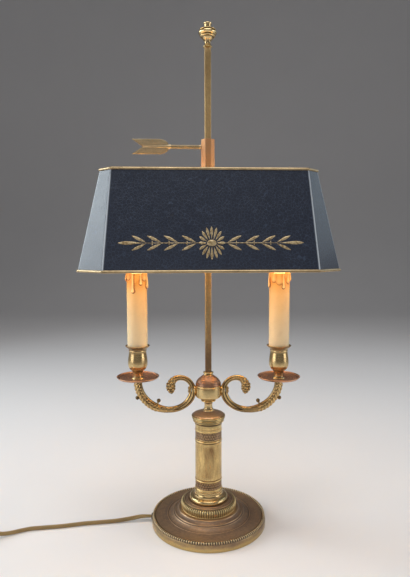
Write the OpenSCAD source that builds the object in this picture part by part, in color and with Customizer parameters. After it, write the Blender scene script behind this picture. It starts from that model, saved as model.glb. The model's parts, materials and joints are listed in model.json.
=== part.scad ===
// Two-light table lamp: a round base and column carry a pair of scrolled candle arms,
// and a square rod above them carries a painted metal shade that slides and is clamped by an arrow key.
// Millimetres. The origin is the centre of the base's underside, +Z is up and the front faces -Y.

/* [Base] */
// Diameter of the base
base_d = 149; // [130:1:180]
// Height of the plain band round the edge
band_h = 11; // [9:0.5:14]
// Rise of the base's top above the band
base_rise = 9.5; // [8.5:0.5:14]
// Wall of the base
base_wall = 2.4; // [1.6:0.1:3]
// Distance of the bead row's seat from the edge
bead_edge = 1.6; // [1:0.1:3]
// Thickness of the bead row
bead_d = 3; // [2:0.1:4]
// Diameter where the flat tread turns up
tread_d = 109; // [102:1:114]
// Diameter of the upper step
step_d = 88; // [84:1:94]
// Diameter of the seat for the plinth ring
seat_d = 77; // [75:1:80]
// Thickness of the felt underneath
felt_t = 1.5; // [1:0.1:3]
// Diameter of the hole for the cord's bush
bush_d = 7; // [6:0.5:7.5]

/* [Column] */
// Diameter of the gadrooned plinth ring
gadroon_d = 73; // [70:1:75]
// Height of the gadrooned plinth ring
gadroon_h = 10; // [8:0.5:14]
// Height of the column foot
foot_h = 18; // [15:0.5:24]
// Diameter of the bright roll on the column foot
roll_d = 50; // [46:0.5:54]
// Thickness of the bright roll on the column foot
roll_t = 7; // [5:0.5:8]
// Outer diameter of the column tube
column_d = 34.7; // [32:0.1:38]
// Height of the column tube
column_h = 83; // [60:1:140]
// Wall of the column tube
column_wall = 1.5; // [1:0.1:2.5]
// Thickness of the rings on the column
ring_t = 0.8; // [0.5:0.1:1.2]
// Height of each ring on the column
ring_h = 3.6; // [2:0.1:5]
// Height of the dark chased band at each end of the column
chased_h = 10; // [6:0.5:16]
// Height of the plain band under the capital
plain_h = 7.5; // [3:0.5:10]
// Diameter of the capital at its top
capital_d = 41; // [39:0.5:43]
// Height of the capital
capital_h = 8.5; // [6:0.5:12]
// Largest diameter of the domed cap
cap_d = 44; // [42:0.5:48]
// Height of the domed cap
cap_h = 10; // [8:0.5:14]
// Waist diameter of the neck
neck_d = 10.6; // [10.4:0.1:14]
// Height of the neck with its disc
neck_h = 15; // [12:0.5:20]
// Diameter of the disc on the neck
neck_disc_d = 19.2; // [16:0.1:22]

/* [Hub] */
// Diameter of the hub that carries the arms
hub_d = 33.2; // [32:0.1:36]
// Wall of the hub
hub_wall = 1.6; // [1.2:0.1:2]
// Height of the dome over the hub
dome_h = 13; // [12:0.5:18]
// Diameter of the collar round the rod's foot
collar_d = 12.6; // [12:0.1:16]
// Height of the collar
collar_h = 4; // [3:0.5:8]

/* [Tie rod] */
// Diameter of the threaded tube that draws base, column and hub together
tie_d = 8; // [7:0.1:8.4]
// Bore of the threaded tube
tie_bore = 5; // [3.5:0.1:5.5]
// Width across the flats of the nuts on the threaded tube and the rod
nut_af = 13; // [12:0.5:14]
// Thickness of those nuts
nut_t = 4.5; // [3.5:0.5:5]

/* [Arms] */
// Distance of each candle from the lamp's axis
arm_reach = 91.5; // [85:0.5:110]
// Distance of the arm's lowest point from the lamp's axis
arm_bow = 51.5; // [46:0.5:56]
// Height of the arm's joint above the hub's underside
lug_h = 12; // [11.5:0.5:15]
// Drop of the arm's centreline below the joint
arm_drop = 26.5; // [22:0.5:34]
// Rise of the drip pan's seat above the joint
pan_rise = 14.5; // [12:0.5:24]
// Straight length of the arm under the drip pan
arm_neck = 3.5; // [3:0.5:8]
// Rise of the scroll above the joint
scroll_rise = 16; // [14:0.5:18]
// Distance of the scroll's top from the lamp's axis
scroll_x = 36.8; // [34:0.2:39]
// Distance of the scroll's far side from the lamp's axis
scroll_far = 49; // [46:0.5:52]
// Height of the scroll's far side above the joint
scroll_side = 4; // [2:0.5:6]
// Length of the leaf at the scroll's end
leaf_l = 9.6; // [7:0.2:12]
// Width of the arm under the drip pan
arm_w = 10.4; // [9.6:0.1:13]
// Width of the arm at its lowest point
arm_mid_w = 7.8; // [6.5:0.1:9]
// Width of the scroll at its thinnest
scroll_w = 6.4; // [5:0.1:8]
// Width of the scroll's leaf
leaf_w = 12.2; // [9:0.2:14]
// Diameter of the ball knobs on the arm
knob_d = 5.2; // [3:0.1:6]
// Diameter of the hollow screw that joins the arm to the hub
nipple_d = 7; // [6:0.1:7.4]

/* [Candles] */
// Diameter of the drip pan
pan_d = 55; // [50:0.5:64]
// Depth of the drip pan
pan_h = 3.6; // [2.5:0.1:6]
// Sheet thickness of the drip pan
pan_t = 1.2; // [0.8:0.1:1.6]
// Height of the candle cup to the candle's seat
cup_h = 41.5; // [34:0.5:50]
// Diameter of the cup's belly
cup_d = 25.2; // [22:0.2:28]
// Diameter of the cup's rim
cup_rim_d = 31.6; // [30:0.2:36]
// Diameter of the cup's stem
cup_stem_d = 12.4; // [10:0.2:14]
// Diameter of the hollow screw under the candle
screw_d = 6; // [5:0.1:6.4]
// Outer diameter of the candle sleeve
candle_d = 26; // [25:0.1:29]
// Wall of the candle sleeve
candle_wall = 1.2; // [0.8:0.1:1.6]
// Height of the candle sleeve
candle_h = 95; // [85:1:120]
// Outer diameter of the bulb's screw cap, 14 mm small screw
bulb_cap_d = 13.9; // [13.8:0.1:14]
// Height of the bulb's screw cap
bulb_cap_h = 26; // [22:0.5:28]
// Largest diameter of the bulb
bulb_d = 35; // [28:0.5:37]
// Height of the bulb's glass above its holder
bulb_h = 74; // [60:1:85]
// Wall of the bulb's glass
glass_t = 0.9; // [0.6:0.1:1.2]

/* [Rod] */
// Width of the square rod
rod_w = 8; // [7:0.1:8.4]
// Length of the square rod
rod_l = 408; // [385:1:480]
// Diameter of the rod's round spigot in the hub
spigot_d = 7.8; // [7:0.1:8]
// Height of the finial
finial_h = 29.5; // [28:0.5:40]
// Largest diameter of the finial
finial_d = 22.6; // [18:0.2:28]

/* [Shade] */
// Width of the shade at its lower edge
shade_w = 312; // [300:1:340]
// Depth of the shade at its lower edge
shade_depth = 163.4; // [150:0.2:190]
// Width of the shade at its upper edge
shade_top_w = 258.8; // [250:0.2:280]
// Depth of the shade at its upper edge
shade_top_depth = 108.4; // [96:0.2:130]
// Height of the shade
shade_h = 118; // [100:1:140]
// Size of the canted corners at the lower edge
corner = 33.5; // [26:0.5:40]
// Size of the canted corners at the upper edge
corner_top = 14.5; // [10:0.5:20]
// Thickness of the shade's sheet
sheet_t = 1; // [0.6:0.1:1.2]
// Thickness of the brass edging
trim_d = 3.6; // [3:0.1:5]
// Gap between the candles and the shade's lower edge
shade_gap = 5.5; // [3:0.5:40]
// Turn of the shade from the line of the arms
shade_yaw = 3; // [0:0.5:8]
// Width across the flats of the eight-sided sleeve
sleeve_w = 16.6; // [15:0.2:20]
// Height of the sleeve
sleeve_h = 50.5; // [46:0.5:60]
// Width of the bridge bar inside the shade
bridge_w = 18; // [17:0.5:24]
// Thickness of the bridge bar
bridge_t = 2.5; // [1.5:0.1:3]
// Depth of the bridge bar below the shade's upper edge
bridge_drop = 9; // [5:0.5:12]

/* [Arrow key] */
// Diameter of the arrow's shaft
key_d = 5; // [4:0.1:6]
// Height of the arrow's shaft above the foot of the sleeve
key_rise = 41.5; // [34:0.5:42]
// Distance of the feather's shoulder from the rod's axis
key_shoulder = 48.8; // [40:0.2:60]
// Length of the feather
feather_l = 46.5; // [36:0.5:56]
// Width of the feather
feather_w = 18.7; // [14:0.1:24]
// Depth of the notch in the feather's end
feather_notch = 14; // [8:0.5:20]
// Thickness of the feather
feather_t = 1.8; // [1.2:0.1:2.4]

/* [Cord] */
// Width of the flat flex
flex_w = 5.2; // [4:0.1:6]
// Thickness of the flat flex
flex_t = 2.8; // [2:0.1:3.2]
// Number of loops in the coil
coil_turns = 8; // [4:2:16]
// Radius of the coil's innermost loop
coil_r = 22; // [20:0.5:30]
// Space between neighbouring loops
coil_gap = 0.7; // [0.5:0.1:2]
// Length of the cord switch
switch_l = 54; // [46:1:70]
// Width of the cord switch
switch_w = 21; // [18:0.5:28]
// Height of each half of the cord switch
switch_h = 7.5; // [7:0.1:10]
// Tilt of the switch's rocker to each side
rocker_tilt = 7; // [4:0.5:9]
// Length of the plug's body
plug_l = 34; // [30:0.5:40]
// Width of the plug's body at the pins
plug_w = 26; // [25:0.5:30]
// Thickness of the plug's body
plug_t = 13.6; // [12:0.1:16]
// Distance between the plug's pins
pin_gap = 18.6; // [18:0.1:19.2]
// Diameter of the plug's pins
pin_d = 4; // [3.8:0.1:4.2]
// Length of the plug's pins
pin_l = 19; // [17:0.5:20]

/* [Hidden] */

// Clearances: parts that are pushed together, parts that run, and parts that stay apart
fit = 0.05;
play = 0.1;
apart = 0.3;
// Facets of turned parts
$fn = 96;

// Heights of the stack, from the base up
base_h = band_h + base_rise;
plinth_z = base_h;
foot_z = plinth_z + gadroon_h;
column_z = foot_z + foot_h;
capital_z = column_z + column_h;
cap_z = capital_z + capital_h;
neck_z = cap_z + cap_h;
hub_z = neck_z + neck_h;
hub_h = lug_h + nipple_d / 2 + 3.5;
dome_z = hub_z + hub_h;
collar_z = dome_z + dome_h;
rod_z = collar_z + collar_h;

// Base
base_r = base_d / 2;
bead_seat = 0.8;
tread_rise = 1.2;
step_h = 0.9;
shell_z = band_h - bead_seat - base_wall;
plate_z = base_h - base_wall;
web_t = 2;
washer_t = 1.5;
washer_r = nut_af / cos(30) / 2 + 3;
base_nut_z = plate_z - web_t - washer_t - nut_t;
tie_bottom = base_nut_z - 0.5;
tie_hole = tie_d / 2 + fit;
bush_flange = 1.2;
cord_z = (band_h + 1) / 2;
foot_r = gadroon_d / 2 - 4.5;
bush_bore = 1.3;
wire_r = 1.1;

// Length by which the column's foot and capital reach into its tube
spigot_l = 4;

// Hub
hub_r = hub_d / 2;
hub_floor = 3;
hub_nut_z = hub_z + hub_floor;
tie_top = hub_nut_z + nut_t + 0.5;
lug_z = hub_z + lug_h;
lug_x = hub_r + 3.6;
lug_r = 5.2;
nipple_end = 2;
joint_r = 1.9;
joint_l = 9;
dome_lip = 1;
ceiling = 3.4;

// Arms and candles
arm_low = lug_z - arm_drop;
pan_z = lug_z + pan_rise;
arm_top = pan_z - arm_neck;
arm_steps = 12;
outer_knob = 0.32;
inner_knob = 0.72;
channel_r = 1.7;
cup_z = pan_z + pan_t;
seat_z = cup_z + cup_h;
rim_lip = 1.7;
candle_z = seat_z + candle_h;
holder_r = candle_d / 2 - candle_wall - apart;
holder_top = candle_z - 1;
socket_r = bulb_cap_d / 2 + 0.75;
socket_floor = holder_top - bulb_cap_h - 1;
screw_in = 8;

// Shade, in the frame of the rod
shade_z = candle_z + shade_gap;
shade_top = shade_z + shade_h;
bridge_z = shade_top - bridge_drop;
sleeve_z = bridge_z + bridge_t;
key_z = sleeve_z + key_rise;
rod_top = rod_z + rod_l;
tab_l = 14;

// Cord: its route on the table from the base to the switch, then on to the coil and the plug
cord_x = -base_r - bush_flange;
cord_y = -42;
switch_x = -272;
switch_z = switch_h - 0.5;
coil_x = switch_x - switch_l - 36;
tie_t = 0.8;
layer_1 = tie_t + flex_w / 2 + play;
layer_2 = layer_1 + flex_w + coil_gap;
coil_pitch = flex_t + coil_gap;
coil_out = coil_r + coil_pitch * coil_turns / 2;
plug_z = plug_t / 2;
relief_l = 16;
// Each pin's thinner root: its diameter, its length in the body and its bare length before the pin
pin_root_d = 3.4;
pin_root = 12;
pin_neck = 1;
tail_l = 30;
plug_x = coil_x - flex_w - tail_l;
lead_route = [[cord_x, 0, cord_z], [cord_x - 6, 0, cord_z], [-90, 0, 5.6], [-100, -2, 4.6], [-112, -4, 3.4],
  [-124, -6, 2.8], [-137, -8, 2.7], [-150, -10, 2.7], [-163, -12, 2.7], [-176, -15, 2.7], [-189, -18, 2.7],
  [-202, -20, 2.7], [-215, -22, 2.7], [-228, -24, 2.7], [-240, -29, 2.8], [-250, -35, 3.4],
  [-258, -40, 5], [switch_x + 6, cord_y, switch_z], [switch_x, cord_y, switch_z]];
// Turn of the flex about its own line, flat at the base and on edge where it lies on the table
lead_roll = [for (i = [0:len(lead_route) - 1]) 90 * ease(min(i / 5, 1))];
link_start = switch_x - switch_l;
link_route = [[link_start, cord_y, switch_z], [link_start - 6, cord_y, switch_z],
  [link_start - 12, cord_y, 5.8], [link_start - 19, cord_y, 4.2], [coil_x + flex_w + 6, cord_y, layer_1],
  [coil_x + flex_w, cord_y, layer_1]];
tail_route = [[coil_x - flex_w, cord_y, layer_2], [coil_x - flex_w - 8, cord_y, layer_2],
  [plug_x + 12, cord_y, (layer_2 + plug_z) / 2], [plug_x + 4, cord_y, plug_z], [plug_x, cord_y, plug_z]];

function unit(v) = v / norm(v);
function ease(t) = t * t * (3 - 2 * t);

// Points of an elliptical arc in a profile
function arc(c, rx, rz, a0, a1, n = 6) =
  [for (i = [0:n]) let (a = a0 + (a1 - a0) * i / n) [c[0] + rx * cos(a), c[1] + rz * sin(a)]];

// A smooth curve through the key points of a profile, with n steps in each span
function curve(p, n = 4) = [for (i = [0:len(p) - 2], j = [0:n - 1])
    let (t = j / n, a = p[max(i - 1, 0)], b = p[i], c = p[i + 1], d = p[min(i + 2, len(p) - 1)])
    b + (c - a) * t / 2 + (2 * a - 5 * b + 4 * c - d) * t * t / 2 + (3 * b - a - 3 * c + d) * t * t * t / 2,
  p[len(p) - 1]];

function tangent(p, i) = unit(p[min(i + 1, len(p) - 1)] - p[max(i - 1, 0)]);

// Level direction across a path, for cords that lie on a table
function across(t) = unit([t[1], -t[0], 0]);

// One oval ring of a swept tube
function oval(c, side, up, a, b, n) =
  [for (k = [0:n - 1]) c + side * a * cos(360 * k / n) + up * b * sin(360 * k / n)];

function tube_faces(rings, n) = concat(
  [for (i = [0:rings - 2], k = [0:n - 1])
    let (p = i * n + k, q = i * n + (k + 1) % n) each [[p, q, q + n], [p, q + n, p + n]]],
  [for (k = [1:n - 2]) [0, k + 1, k]],
  [for (k = [1:n - 2]) let (o = (rings - 1) * n) [o, o + k, o + k + 1]]);

// A tube swept in the plane of the arms: w and d are lists of its widths in and across that plane
module plane_tube(path, w, d, n) {
  rings = [for (i = [0:len(path) - 1])
    let (t = tangent(path, i), side = [0, 1, 0])
    each oval(path[i], side, cross(side, t), d[i] / 2, w[i] / 2, n)];
  polyhedron(rings, tube_faces(len(path), n));
}

// One ring of the flat flex, turned by roll about its path: at 90 it stands on edge
function flex_ring(path, i, roll, n) =
  let (t = tangent(path, i), side = across(t), up = cross(side, t))
  oval(path[i], side * cos(roll) + up * sin(roll), up * cos(roll) - side * sin(roll),
    flex_w / 2, flex_t / 2, n);

// The flat flex swept along a route on the table
module flex(path, roll, n) {
  rings = [for (i = [0:len(path) - 1]) each flex_ring(path, i, roll[i], n)];
  polyhedron(rings, tube_faces(len(path), n));
}

function on_edge(path) = [for (p = path) 90];

module turned(outline) {
  rotate_extrude() polygon(outline);
}

module at(z) {
  translate([0, 0, z]) children();
}

module along_x(x, z, y = 0) {
  translate([x, y, z]) rotate([0, 90, 0]) children();
}

// Everything that hangs on the rod stands turned by the shade's yaw
module on_rod() {
  rotate(shade_yaw) children();
}

module both_sides() {
  children();
  mirror([1, 0, 0]) children();
}

module nut(af, t, hole) {
  difference() {
    cylinder(h = t, r = af / 2 / cos(30), $fn = 6);
    translate([0, 0, -1]) cylinder(h = t + 2, r = hole, $fn = 48);
  }
}

// Base and column

module base_foot() {
  bead_r = base_r - bead_edge;
  color("peru") difference() {
    turned(concat(
      [[base_r - base_wall, 0], [base_r, 0], [base_r, band_h - 1], [base_r - 1, band_h], [bead_r, band_h],
        [bead_r, band_h - bead_seat], [bead_r - bead_d, band_h - bead_seat], [bead_r - bead_d, band_h + 0.4]],
      arc([tread_d / 2, band_h + tread_rise + 4.4], (tread_d - step_d) / 2, 4.4, 270, 190),
      [[step_d / 2, band_h + tread_rise + 3.7 + step_h], [seat_d / 2 + 3, base_h - 3],
        [seat_d / 2 + 2, base_h - 1], [seat_d / 2, base_h], [tie_hole, base_h], [tie_hole, plate_z],
        [seat_d / 2 - base_wall, plate_z], [tread_d / 2 - base_wall - 1, shell_z],
        [base_r - base_wall, shell_z]]));
    along_x(-base_r - 1, cord_z) cylinder(h = base_wall + 2, d = bush_d, $fn = 48);
  }
}

module bead_ring() {
  r = base_r - bead_edge - bead_d / 2;
  color("darkgoldenrod") rotate_extrude() translate([r, band_h - bead_seat])
    intersection() {
      translate([0, bead_d / 4]) circle(d = bead_d - fit, $fn = 24);
      translate([-bead_d, 0]) square(2 * bead_d);
    }
}

module base_ballast() {
  color("dimgray") difference() {
    turned([[base_r - base_wall - apart, felt_t], [base_r - base_wall - apart, shell_z - apart],
      [tread_d / 2 - base_wall - 1.6, shell_z - apart], [seat_d / 2 - base_wall - 0.6, plate_z],
      [tie_hole, plate_z], [tie_hole, plate_z - web_t], [washer_r + 2, plate_z - web_t],
      [washer_r + 2, felt_t]]);
    translate([-base_r, -3, 0]) cube([base_r, 6, cord_z + 2 * wire_r]);
  }
}

module base_felt() {
  color("darkgreen") cylinder(h = felt_t, r = base_r - base_wall - apart);
}

module base_washer() {
  color("silver") at(plate_z - web_t - washer_t) difference() {
    cylinder(h = washer_t, r = washer_r);
    at(-1) cylinder(h = washer_t + 2, r = tie_hole, $fn = 48);
  }
}

module base_nut() {
  color("silver") at(base_nut_z) nut(nut_af, nut_t, tie_hole);
}

module tie_rod() {
  color("lightgray") at(tie_bottom) difference() {
    cylinder(h = tie_top - tie_bottom, d = tie_d, $fn = 48);
    at(-1) cylinder(h = tie_top - tie_bottom + 2, d = tie_bore, $fn = 48);
  }
}

module gadroon_ring() {
  r = gadroon_d / 2;
  color("goldenrod") at(plinth_z) turned(concat(
    [[r - 14, 0], [r - 1.5, 0], [r - 1.5, 1]],
    arc([r - 4, gadroon_h / 2], 4, gadroon_h / 2 - 1.2, -70, 80),
    [[foot_r, gadroon_h - 0.8], [foot_r, gadroon_h], [r - 14, gadroon_h]]));
}

module column_foot() {
  r = column_d / 2;
  roll_r = roll_t / 2;
  disc_h = 0.9;
  bead = 2.8;
  bead_z = roll_t + 0.4;
  bead_top = bead_z + 1;
  hollow = 1.7;
  groove = 0.3;
  lip = 0.7;
  lip_z = foot_h - 2.6;
  hollow_z = lip_z - 0.6;
  color("gold") at(foot_z) turned(concat(
    [[tie_hole, 0], [foot_r, 0], [foot_r, disc_h]],
    arc([roll_d / 2 - roll_r, roll_r], roll_r, roll_r, -asin(1 - disc_h / roll_r), 80),
    [[r + bead, bead_z], [r + bead, bead_top], [r + hollow, bead_top + groove]],
    arc([r + hollow + 0.5, hollow_z], hollow, hollow_z - bead_top - 2 * groove, 255, 185, 4),
    [[r + groove, hollow_z], [r + groove, lip_z], [r + lip, lip_z], [r + lip, foot_h - groove],
      [r, foot_h], [r - column_wall - fit, foot_h], [r - column_wall - fit, foot_h + spigot_l],
      [tie_hole, foot_h + spigot_l]]));
}

module column_tube() {
  color("darkkhaki") at(column_z) difference() {
    cylinder(h = column_h, d = column_d);
    at(-1) cylinder(h = column_h + 2, r = column_d / 2 - column_wall);
  }
}

// Two bright rings on the column, each with a groove round its middle
module column_rings() {
  r = column_d / 2;
  color("gold") for (z = [column_z + chased_h, capital_z - plain_h - chased_h - ring_h])
    at(z) turned([[r, 0], [r + ring_t, 0.4], [r + ring_t, ring_h / 2 - 0.3], [r + ring_t / 2, ring_h / 2],
      [r + ring_t, ring_h / 2 + 0.3], [r + ring_t, ring_h - 0.4], [r, ring_h]]);
}

module column_capital() {
  r = column_d / 2;
  color("olive") at(capital_z) turned([[tie_hole, -spigot_l], [r - column_wall - fit, -spigot_l],
    [r - column_wall - fit, 0], [r + 1.4, 0], [r + 1.9, 0.8], [r + 1.9, 1.8],
    [capital_d / 2 - 0.8, capital_h - 1],
    [capital_d / 2, capital_h], [tie_hole, capital_h]]);
}

module column_cap() {
  r = cap_d / 2;
  color("sienna") at(cap_z) turned(concat([[tie_hole, 0]],
    arc([r - 3.5, 3.2], 3.5, 3.2, -80, 60, 5),
    curve([[r - 4.5, 6.2], [r - 9, 7.6], [neck_d / 2 + 4, 8.7], [neck_d / 2 + 1.8, cap_h]], 3),
    [[tie_hole, cap_h]]));
}

module neck_spindle() {
  r = neck_d / 2;
  color("gold") at(neck_z) turned(concat([[tie_hole, 0]],
    curve([[r + 1.8, 0], [r + 1.2, 1.4], [r, neck_h / 3], [r + 0.1, neck_h / 2], [r + 0.6, neck_h - 3.4]], 3),
    [[neck_disc_d / 2, neck_h - 2.8], [neck_disc_d / 2, neck_h - 0.8], [neck_disc_d / 2 - 1, neck_h],
      [tie_hole, neck_h]]));
}

// Hub

module hub_bowl() {
  color("darkkhaki") difference() {
    at(hub_z) turned(concat([[tie_hole, 0], [neck_disc_d / 2 - 1, 0]],
      arc([hub_r - 6, 5.4], 6, 5.4, -80, 0), [[hub_r, hub_h], [hub_r - hub_wall, hub_h],
        [hub_r - hub_wall, hub_floor + 3]],
      arc([hub_r - hub_wall - 3, hub_floor + 3], 3, 3, 0, -90, 3), [[tie_hole, hub_floor]]));
    along_x(-hub_r - 1, lug_z) cylinder(h = hub_d + 2, d = nipple_d + 2 * fit, $fn = 48);
  }
}

module hub_nut() {
  color("silver") at(hub_nut_z) nut(nut_af, nut_t, tie_hole);
}

module hub_dome() {
  r = hub_r;
  lip_r = hub_r - hub_wall - fit;
  outside = [[r, 0], [r - 0.3, 2], [r - 1.1, dome_h * 0.32], [r - 4.2, dome_h * 0.68],
    [collar_d / 2 + 2.6, dome_h * 0.88], [collar_d / 2, dome_h]];
  color("chocolate") at(dome_z) turned(concat(curve(outside, 3),
    [[spigot_d / 2 + fit, dome_h], [spigot_d / 2 + fit, dome_h - ceiling],
      [nut_af / 2 / cos(30) + 0.4, dome_h - ceiling], [r - 5.4, dome_h * 0.5], [lip_r - 1.4, 1],
      [lip_r - 1.4, -dome_lip], [lip_r, -dome_lip], [lip_r, 0]]));
}

module rod_collar() {
  color("gold") at(collar_z) difference() {
    turned([[0, 0], [collar_d / 2, 0], [collar_d / 2 - 0.5, 1], [collar_d / 2 - 0.3, collar_h - 0.6],
      [collar_d / 2 - 0.8, collar_h], [0, collar_h]]);
    at(-1) cylinder(h = collar_h + 2, d = spigot_d + 2 * fit, $fn = 48);
  }
}

// Arms: station u runs 0 to 1 down from the pan, 1 to 2 up to the joint, 2 to 4 over the scroll
// and 4 to 5 along the leaf

function arm_point(u) =
  u < 0 ? [-arm_reach, 0, arm_top - arm_neck * u]
  : u < 1 ? [-arm_bow - (arm_reach - arm_bow) * cos(90 * u), 0, arm_top - (arm_top - arm_low) * sin(90 * u)]
  : u < 2 ? [-arm_bow + (arm_bow - lug_x) * sin(90 * (u - 1)), 0, lug_z - arm_drop * cos(90 * (u - 1))]
  : u < 3 ? [-scroll_x + (scroll_x - lug_x) * cos(90 * (u - 2)), 0, lug_z + scroll_rise * sin(90 * (u - 2))]
  : u < 4 ? [-scroll_x - (scroll_far - scroll_x) * sin(90 * (u - 3)), 0,
      lug_z + scroll_side + (scroll_rise - scroll_side) * cos(90 * (u - 3))]
  : [-scroll_far + 1.2 * (u - 4), 0, lug_z + scroll_side - leaf_l * (u - 4)];

function arm_width(u) = lookup(u, [[-1, arm_w], [0, arm_w], [0.7, arm_w], [1, arm_mid_w],
  [1.4, arm_mid_w + 0.6], [1.75, arm_mid_w + 1.8], [2, arm_mid_w + 1.2], [2.3, scroll_w + 0.6],
  [2.7, scroll_w], [3.2, scroll_w + 1],
  [3.6, leaf_w - 3], [4, leaf_w], [4.4, leaf_w - 1.6], [4.8, leaf_w / 2], [5, 1.2]]);

// A point beside the arm's centreline at station u, d away from it and outwards where d is positive
function arm_beside(u, d) =
  let (t = unit(arm_point(u + 0.02) - arm_point(u - 0.02)))
  arm_point(u) + d * [t[2], 0, -t[0]];

arm_stations = concat([-1], [for (i = [0:4 * arm_steps]) i / arm_steps], [4.2, 4.4, 4.6, 4.8, 4.92, 5]);

// Way of the wire from the hub through the hollow arm up to the lampholder
wire_bend = 4;
wire_path = concat([[-joint_l / 2, 0, lug_z]],
  [for (a = [0:30:90]) [-lug_x + wire_bend - wire_bend * sin(a), 0, lug_z - wire_bend + wire_bend * cos(a)]],
  [for (i = [3:arm_steps - 1]) arm_point(2 - i / arm_steps)],
  [for (i = [0:arm_steps]) arm_point(1 - i / arm_steps)],
  [[-arm_reach, 0, pan_z], [-arm_reach, 0, seat_z], [-arm_reach, 0, seat_z + screw_in + 6]]);

module wire_way(d) {
  even = [for (p = wire_path) d];
  plane_tube(wire_path, even, even, 8);
}

module arm() {
  widths = [for (u = arm_stations) arm_width(u)];
  stalk_l = arm_width(inner_knob) / 2 + 4.2;
  color("darkgoldenrod") difference() {
    union() {
      plane_tube([for (u = arm_stations) arm_point(u)], widths, [for (w = widths) min(w, arm_w) * 0.86], 12);
      along_x(-lug_x, lug_z) cylinder(h = lug_x - hub_r + 2, r = lug_r, $fn = 48);
      translate(arm_beside(outer_knob, arm_width(outer_knob) / 2 + 1.8)) sphere(d = knob_d, $fn = 24);
      translate(arm_beside(inner_knob, -stalk_l)) sphere(d = knob_d, $fn = 24);
      translate(arm_point(inner_knob)) rotate([0, 90 * (1 - inner_knob), 0])
        cylinder(h = stalk_l, d = knob_d / 2, $fn = 24);
    }
    at(hub_z) cylinder(h = hub_h + dome_h, r = hub_r);
    along_x(-lug_x - nipple_end, lug_z) cylinder(h = lug_x, d = nipple_d + 2 * fit, $fn = 48);
    translate([-arm_reach, 0, pan_z - screw_in]) cylinder(h = screw_in + 1, d = screw_d + 2 * fit, $fn = 48);
    wire_way(2 * channel_r);
  }
}

module left_arm() {
  arm();
}

module right_arm() {
  mirror([1, 0, 0]) arm();
}

// Hollow screws, each with a slot underneath where the wire turns down into the arm
module arm_nipples() {
  start = hub_r - hub_wall - nut_t - 1;
  slot_w = 2 * channel_r;
  color("silver") both_sides() difference() {
    along_x(-lug_x - nipple_end + fit, lug_z)
      cylinder(h = lug_x + nipple_end - fit - start, d = nipple_d, $fn = 48);
    along_x(-2 * lug_x, lug_z) cylinder(h = 2 * lug_x, r = wire_r + 0.9, $fn = 48);
    translate([-2 * lug_x, -slot_w / 2, lug_z - nipple_d])
      cube([lug_x + wire_bend - 0.6, slot_w, nipple_d]);
  }
}

module arm_nuts() {
  af = nipple_d + 4;
  start = hub_r - hub_wall - nut_t - 0.6;
  color("silver") both_sides() intersection() {
    along_x(-hub_r, lug_z) rotate(30) nut(af, hub_r - start, nipple_d / 2 + fit);
    at(hub_z) cylinder(h = hub_h + dome_h, r = hub_r - hub_wall - fit);
  }
}

// Candles, drawn on the left arm's axis

module on_arm(z) {
  translate([-arm_reach, 0, z]) children();
}

module drip_pan() {
  r = pan_d / 2;
  under = curve([[arm_w * 0.7, 0], [r * 0.6, 0.3], [r - 3, 1.1], [r - 0.8, pan_h - 1], [r, pan_h]], 3);
  inside = curve([[r - 0.8, pan_h + 0.4], [r - 1.8, pan_h - 0.3], [r - 3.6, pan_t + 0.9],
    [r * 0.6, pan_t + 0.3], [cup_stem_d / 2 + 2.4, pan_t]], 3);
  color("sienna") on_arm(pan_z) turned(concat([[screw_d / 2 + fit, 0]], under,
    [[r - 0.2, pan_h + 0.4]], inside, [[screw_d / 2 + fit, pan_t]]));
}

module candle_cup() {
  stem = cup_stem_d / 2;
  belly = cup_d / 2;
  rim = cup_rim_d / 2;
  outside = curve([[stem + 1.6, 0], [stem + 0.2, 2], [stem, 6], [stem + 1.4, 9], [belly - 1.6, 12.5],
    [belly, cup_h * 0.46], [belly - 0.5, cup_h * 0.62], [belly - 1.5, cup_h * 0.8],
    [belly - 1.4, cup_h - 4.4], [rim - 1.4, cup_h - 1.2], [rim, cup_h + rim_lip - 0.6]], 3);
  color("goldenrod") on_arm(cup_z) turned(concat([[screw_d / 2 + fit, 0]], outside,
    [[rim - 0.6, cup_h + rim_lip], [candle_d / 2 + apart, cup_h], [screw_d / 2 + fit, cup_h]]));
}

module candle_screws() {
  color("silver") both_sides() on_arm(pan_z - screw_in) difference() {
    cylinder(h = seat_z - pan_z + 2 * screw_in, d = screw_d, $fn = 48);
    at(-1) cylinder(h = seat_z - pan_z + 2 * screw_in + 2, r = wire_r + 0.6, $fn = 48);
  }
}

module candle_sleeve() {
  color("wheat") on_arm(seat_z) difference() {
    cylinder(h = candle_h, d = candle_d);
    at(-1) cylinder(h = candle_h + 2, r = candle_d / 2 - candle_wall);
  }
}

module lampholder() {
  h = holder_top - seat_z;
  floor_h = socket_floor - seat_z;
  color("ivory") on_arm(seat_z) turned([[screw_d / 2 + fit, 0], [holder_r - 2, 0],
    [holder_r - 2, floor_h - 6], [holder_r, floor_h - 4], [holder_r, h], [socket_r, h], [socket_r, floor_h],
    [3, floor_h], [3, floor_h - 3], [holder_r - 5, floor_h - 3], [holder_r - 5, screw_in + fit],
    [screw_d / 2 + fit, screw_in + fit]]);
}

module socket_shells() {
  h = bulb_cap_h - 2;
  color("gold") both_sides() on_arm(socket_floor) difference() {
    cylinder(h = h, r = socket_r - fit, $fn = 64);
    at(0.6) cylinder(h = h, r = bulb_cap_d / 2 + fit, $fn = 64);
    at(-1) cylinder(h = 3, r = 3.2, $fn = 48);
  }
}

module bulb_caps() {
  r = bulb_cap_d / 2;
  color("silver") both_sides() on_arm(holder_top - bulb_cap_h) turned([[0, -0.2], [2.4, -0.2], [3, 1], [r, 4],
    [r, bulb_cap_h], [r - 0.5, bulb_cap_h], [r - 0.5, 6], [0, 6]]);
}

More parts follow.
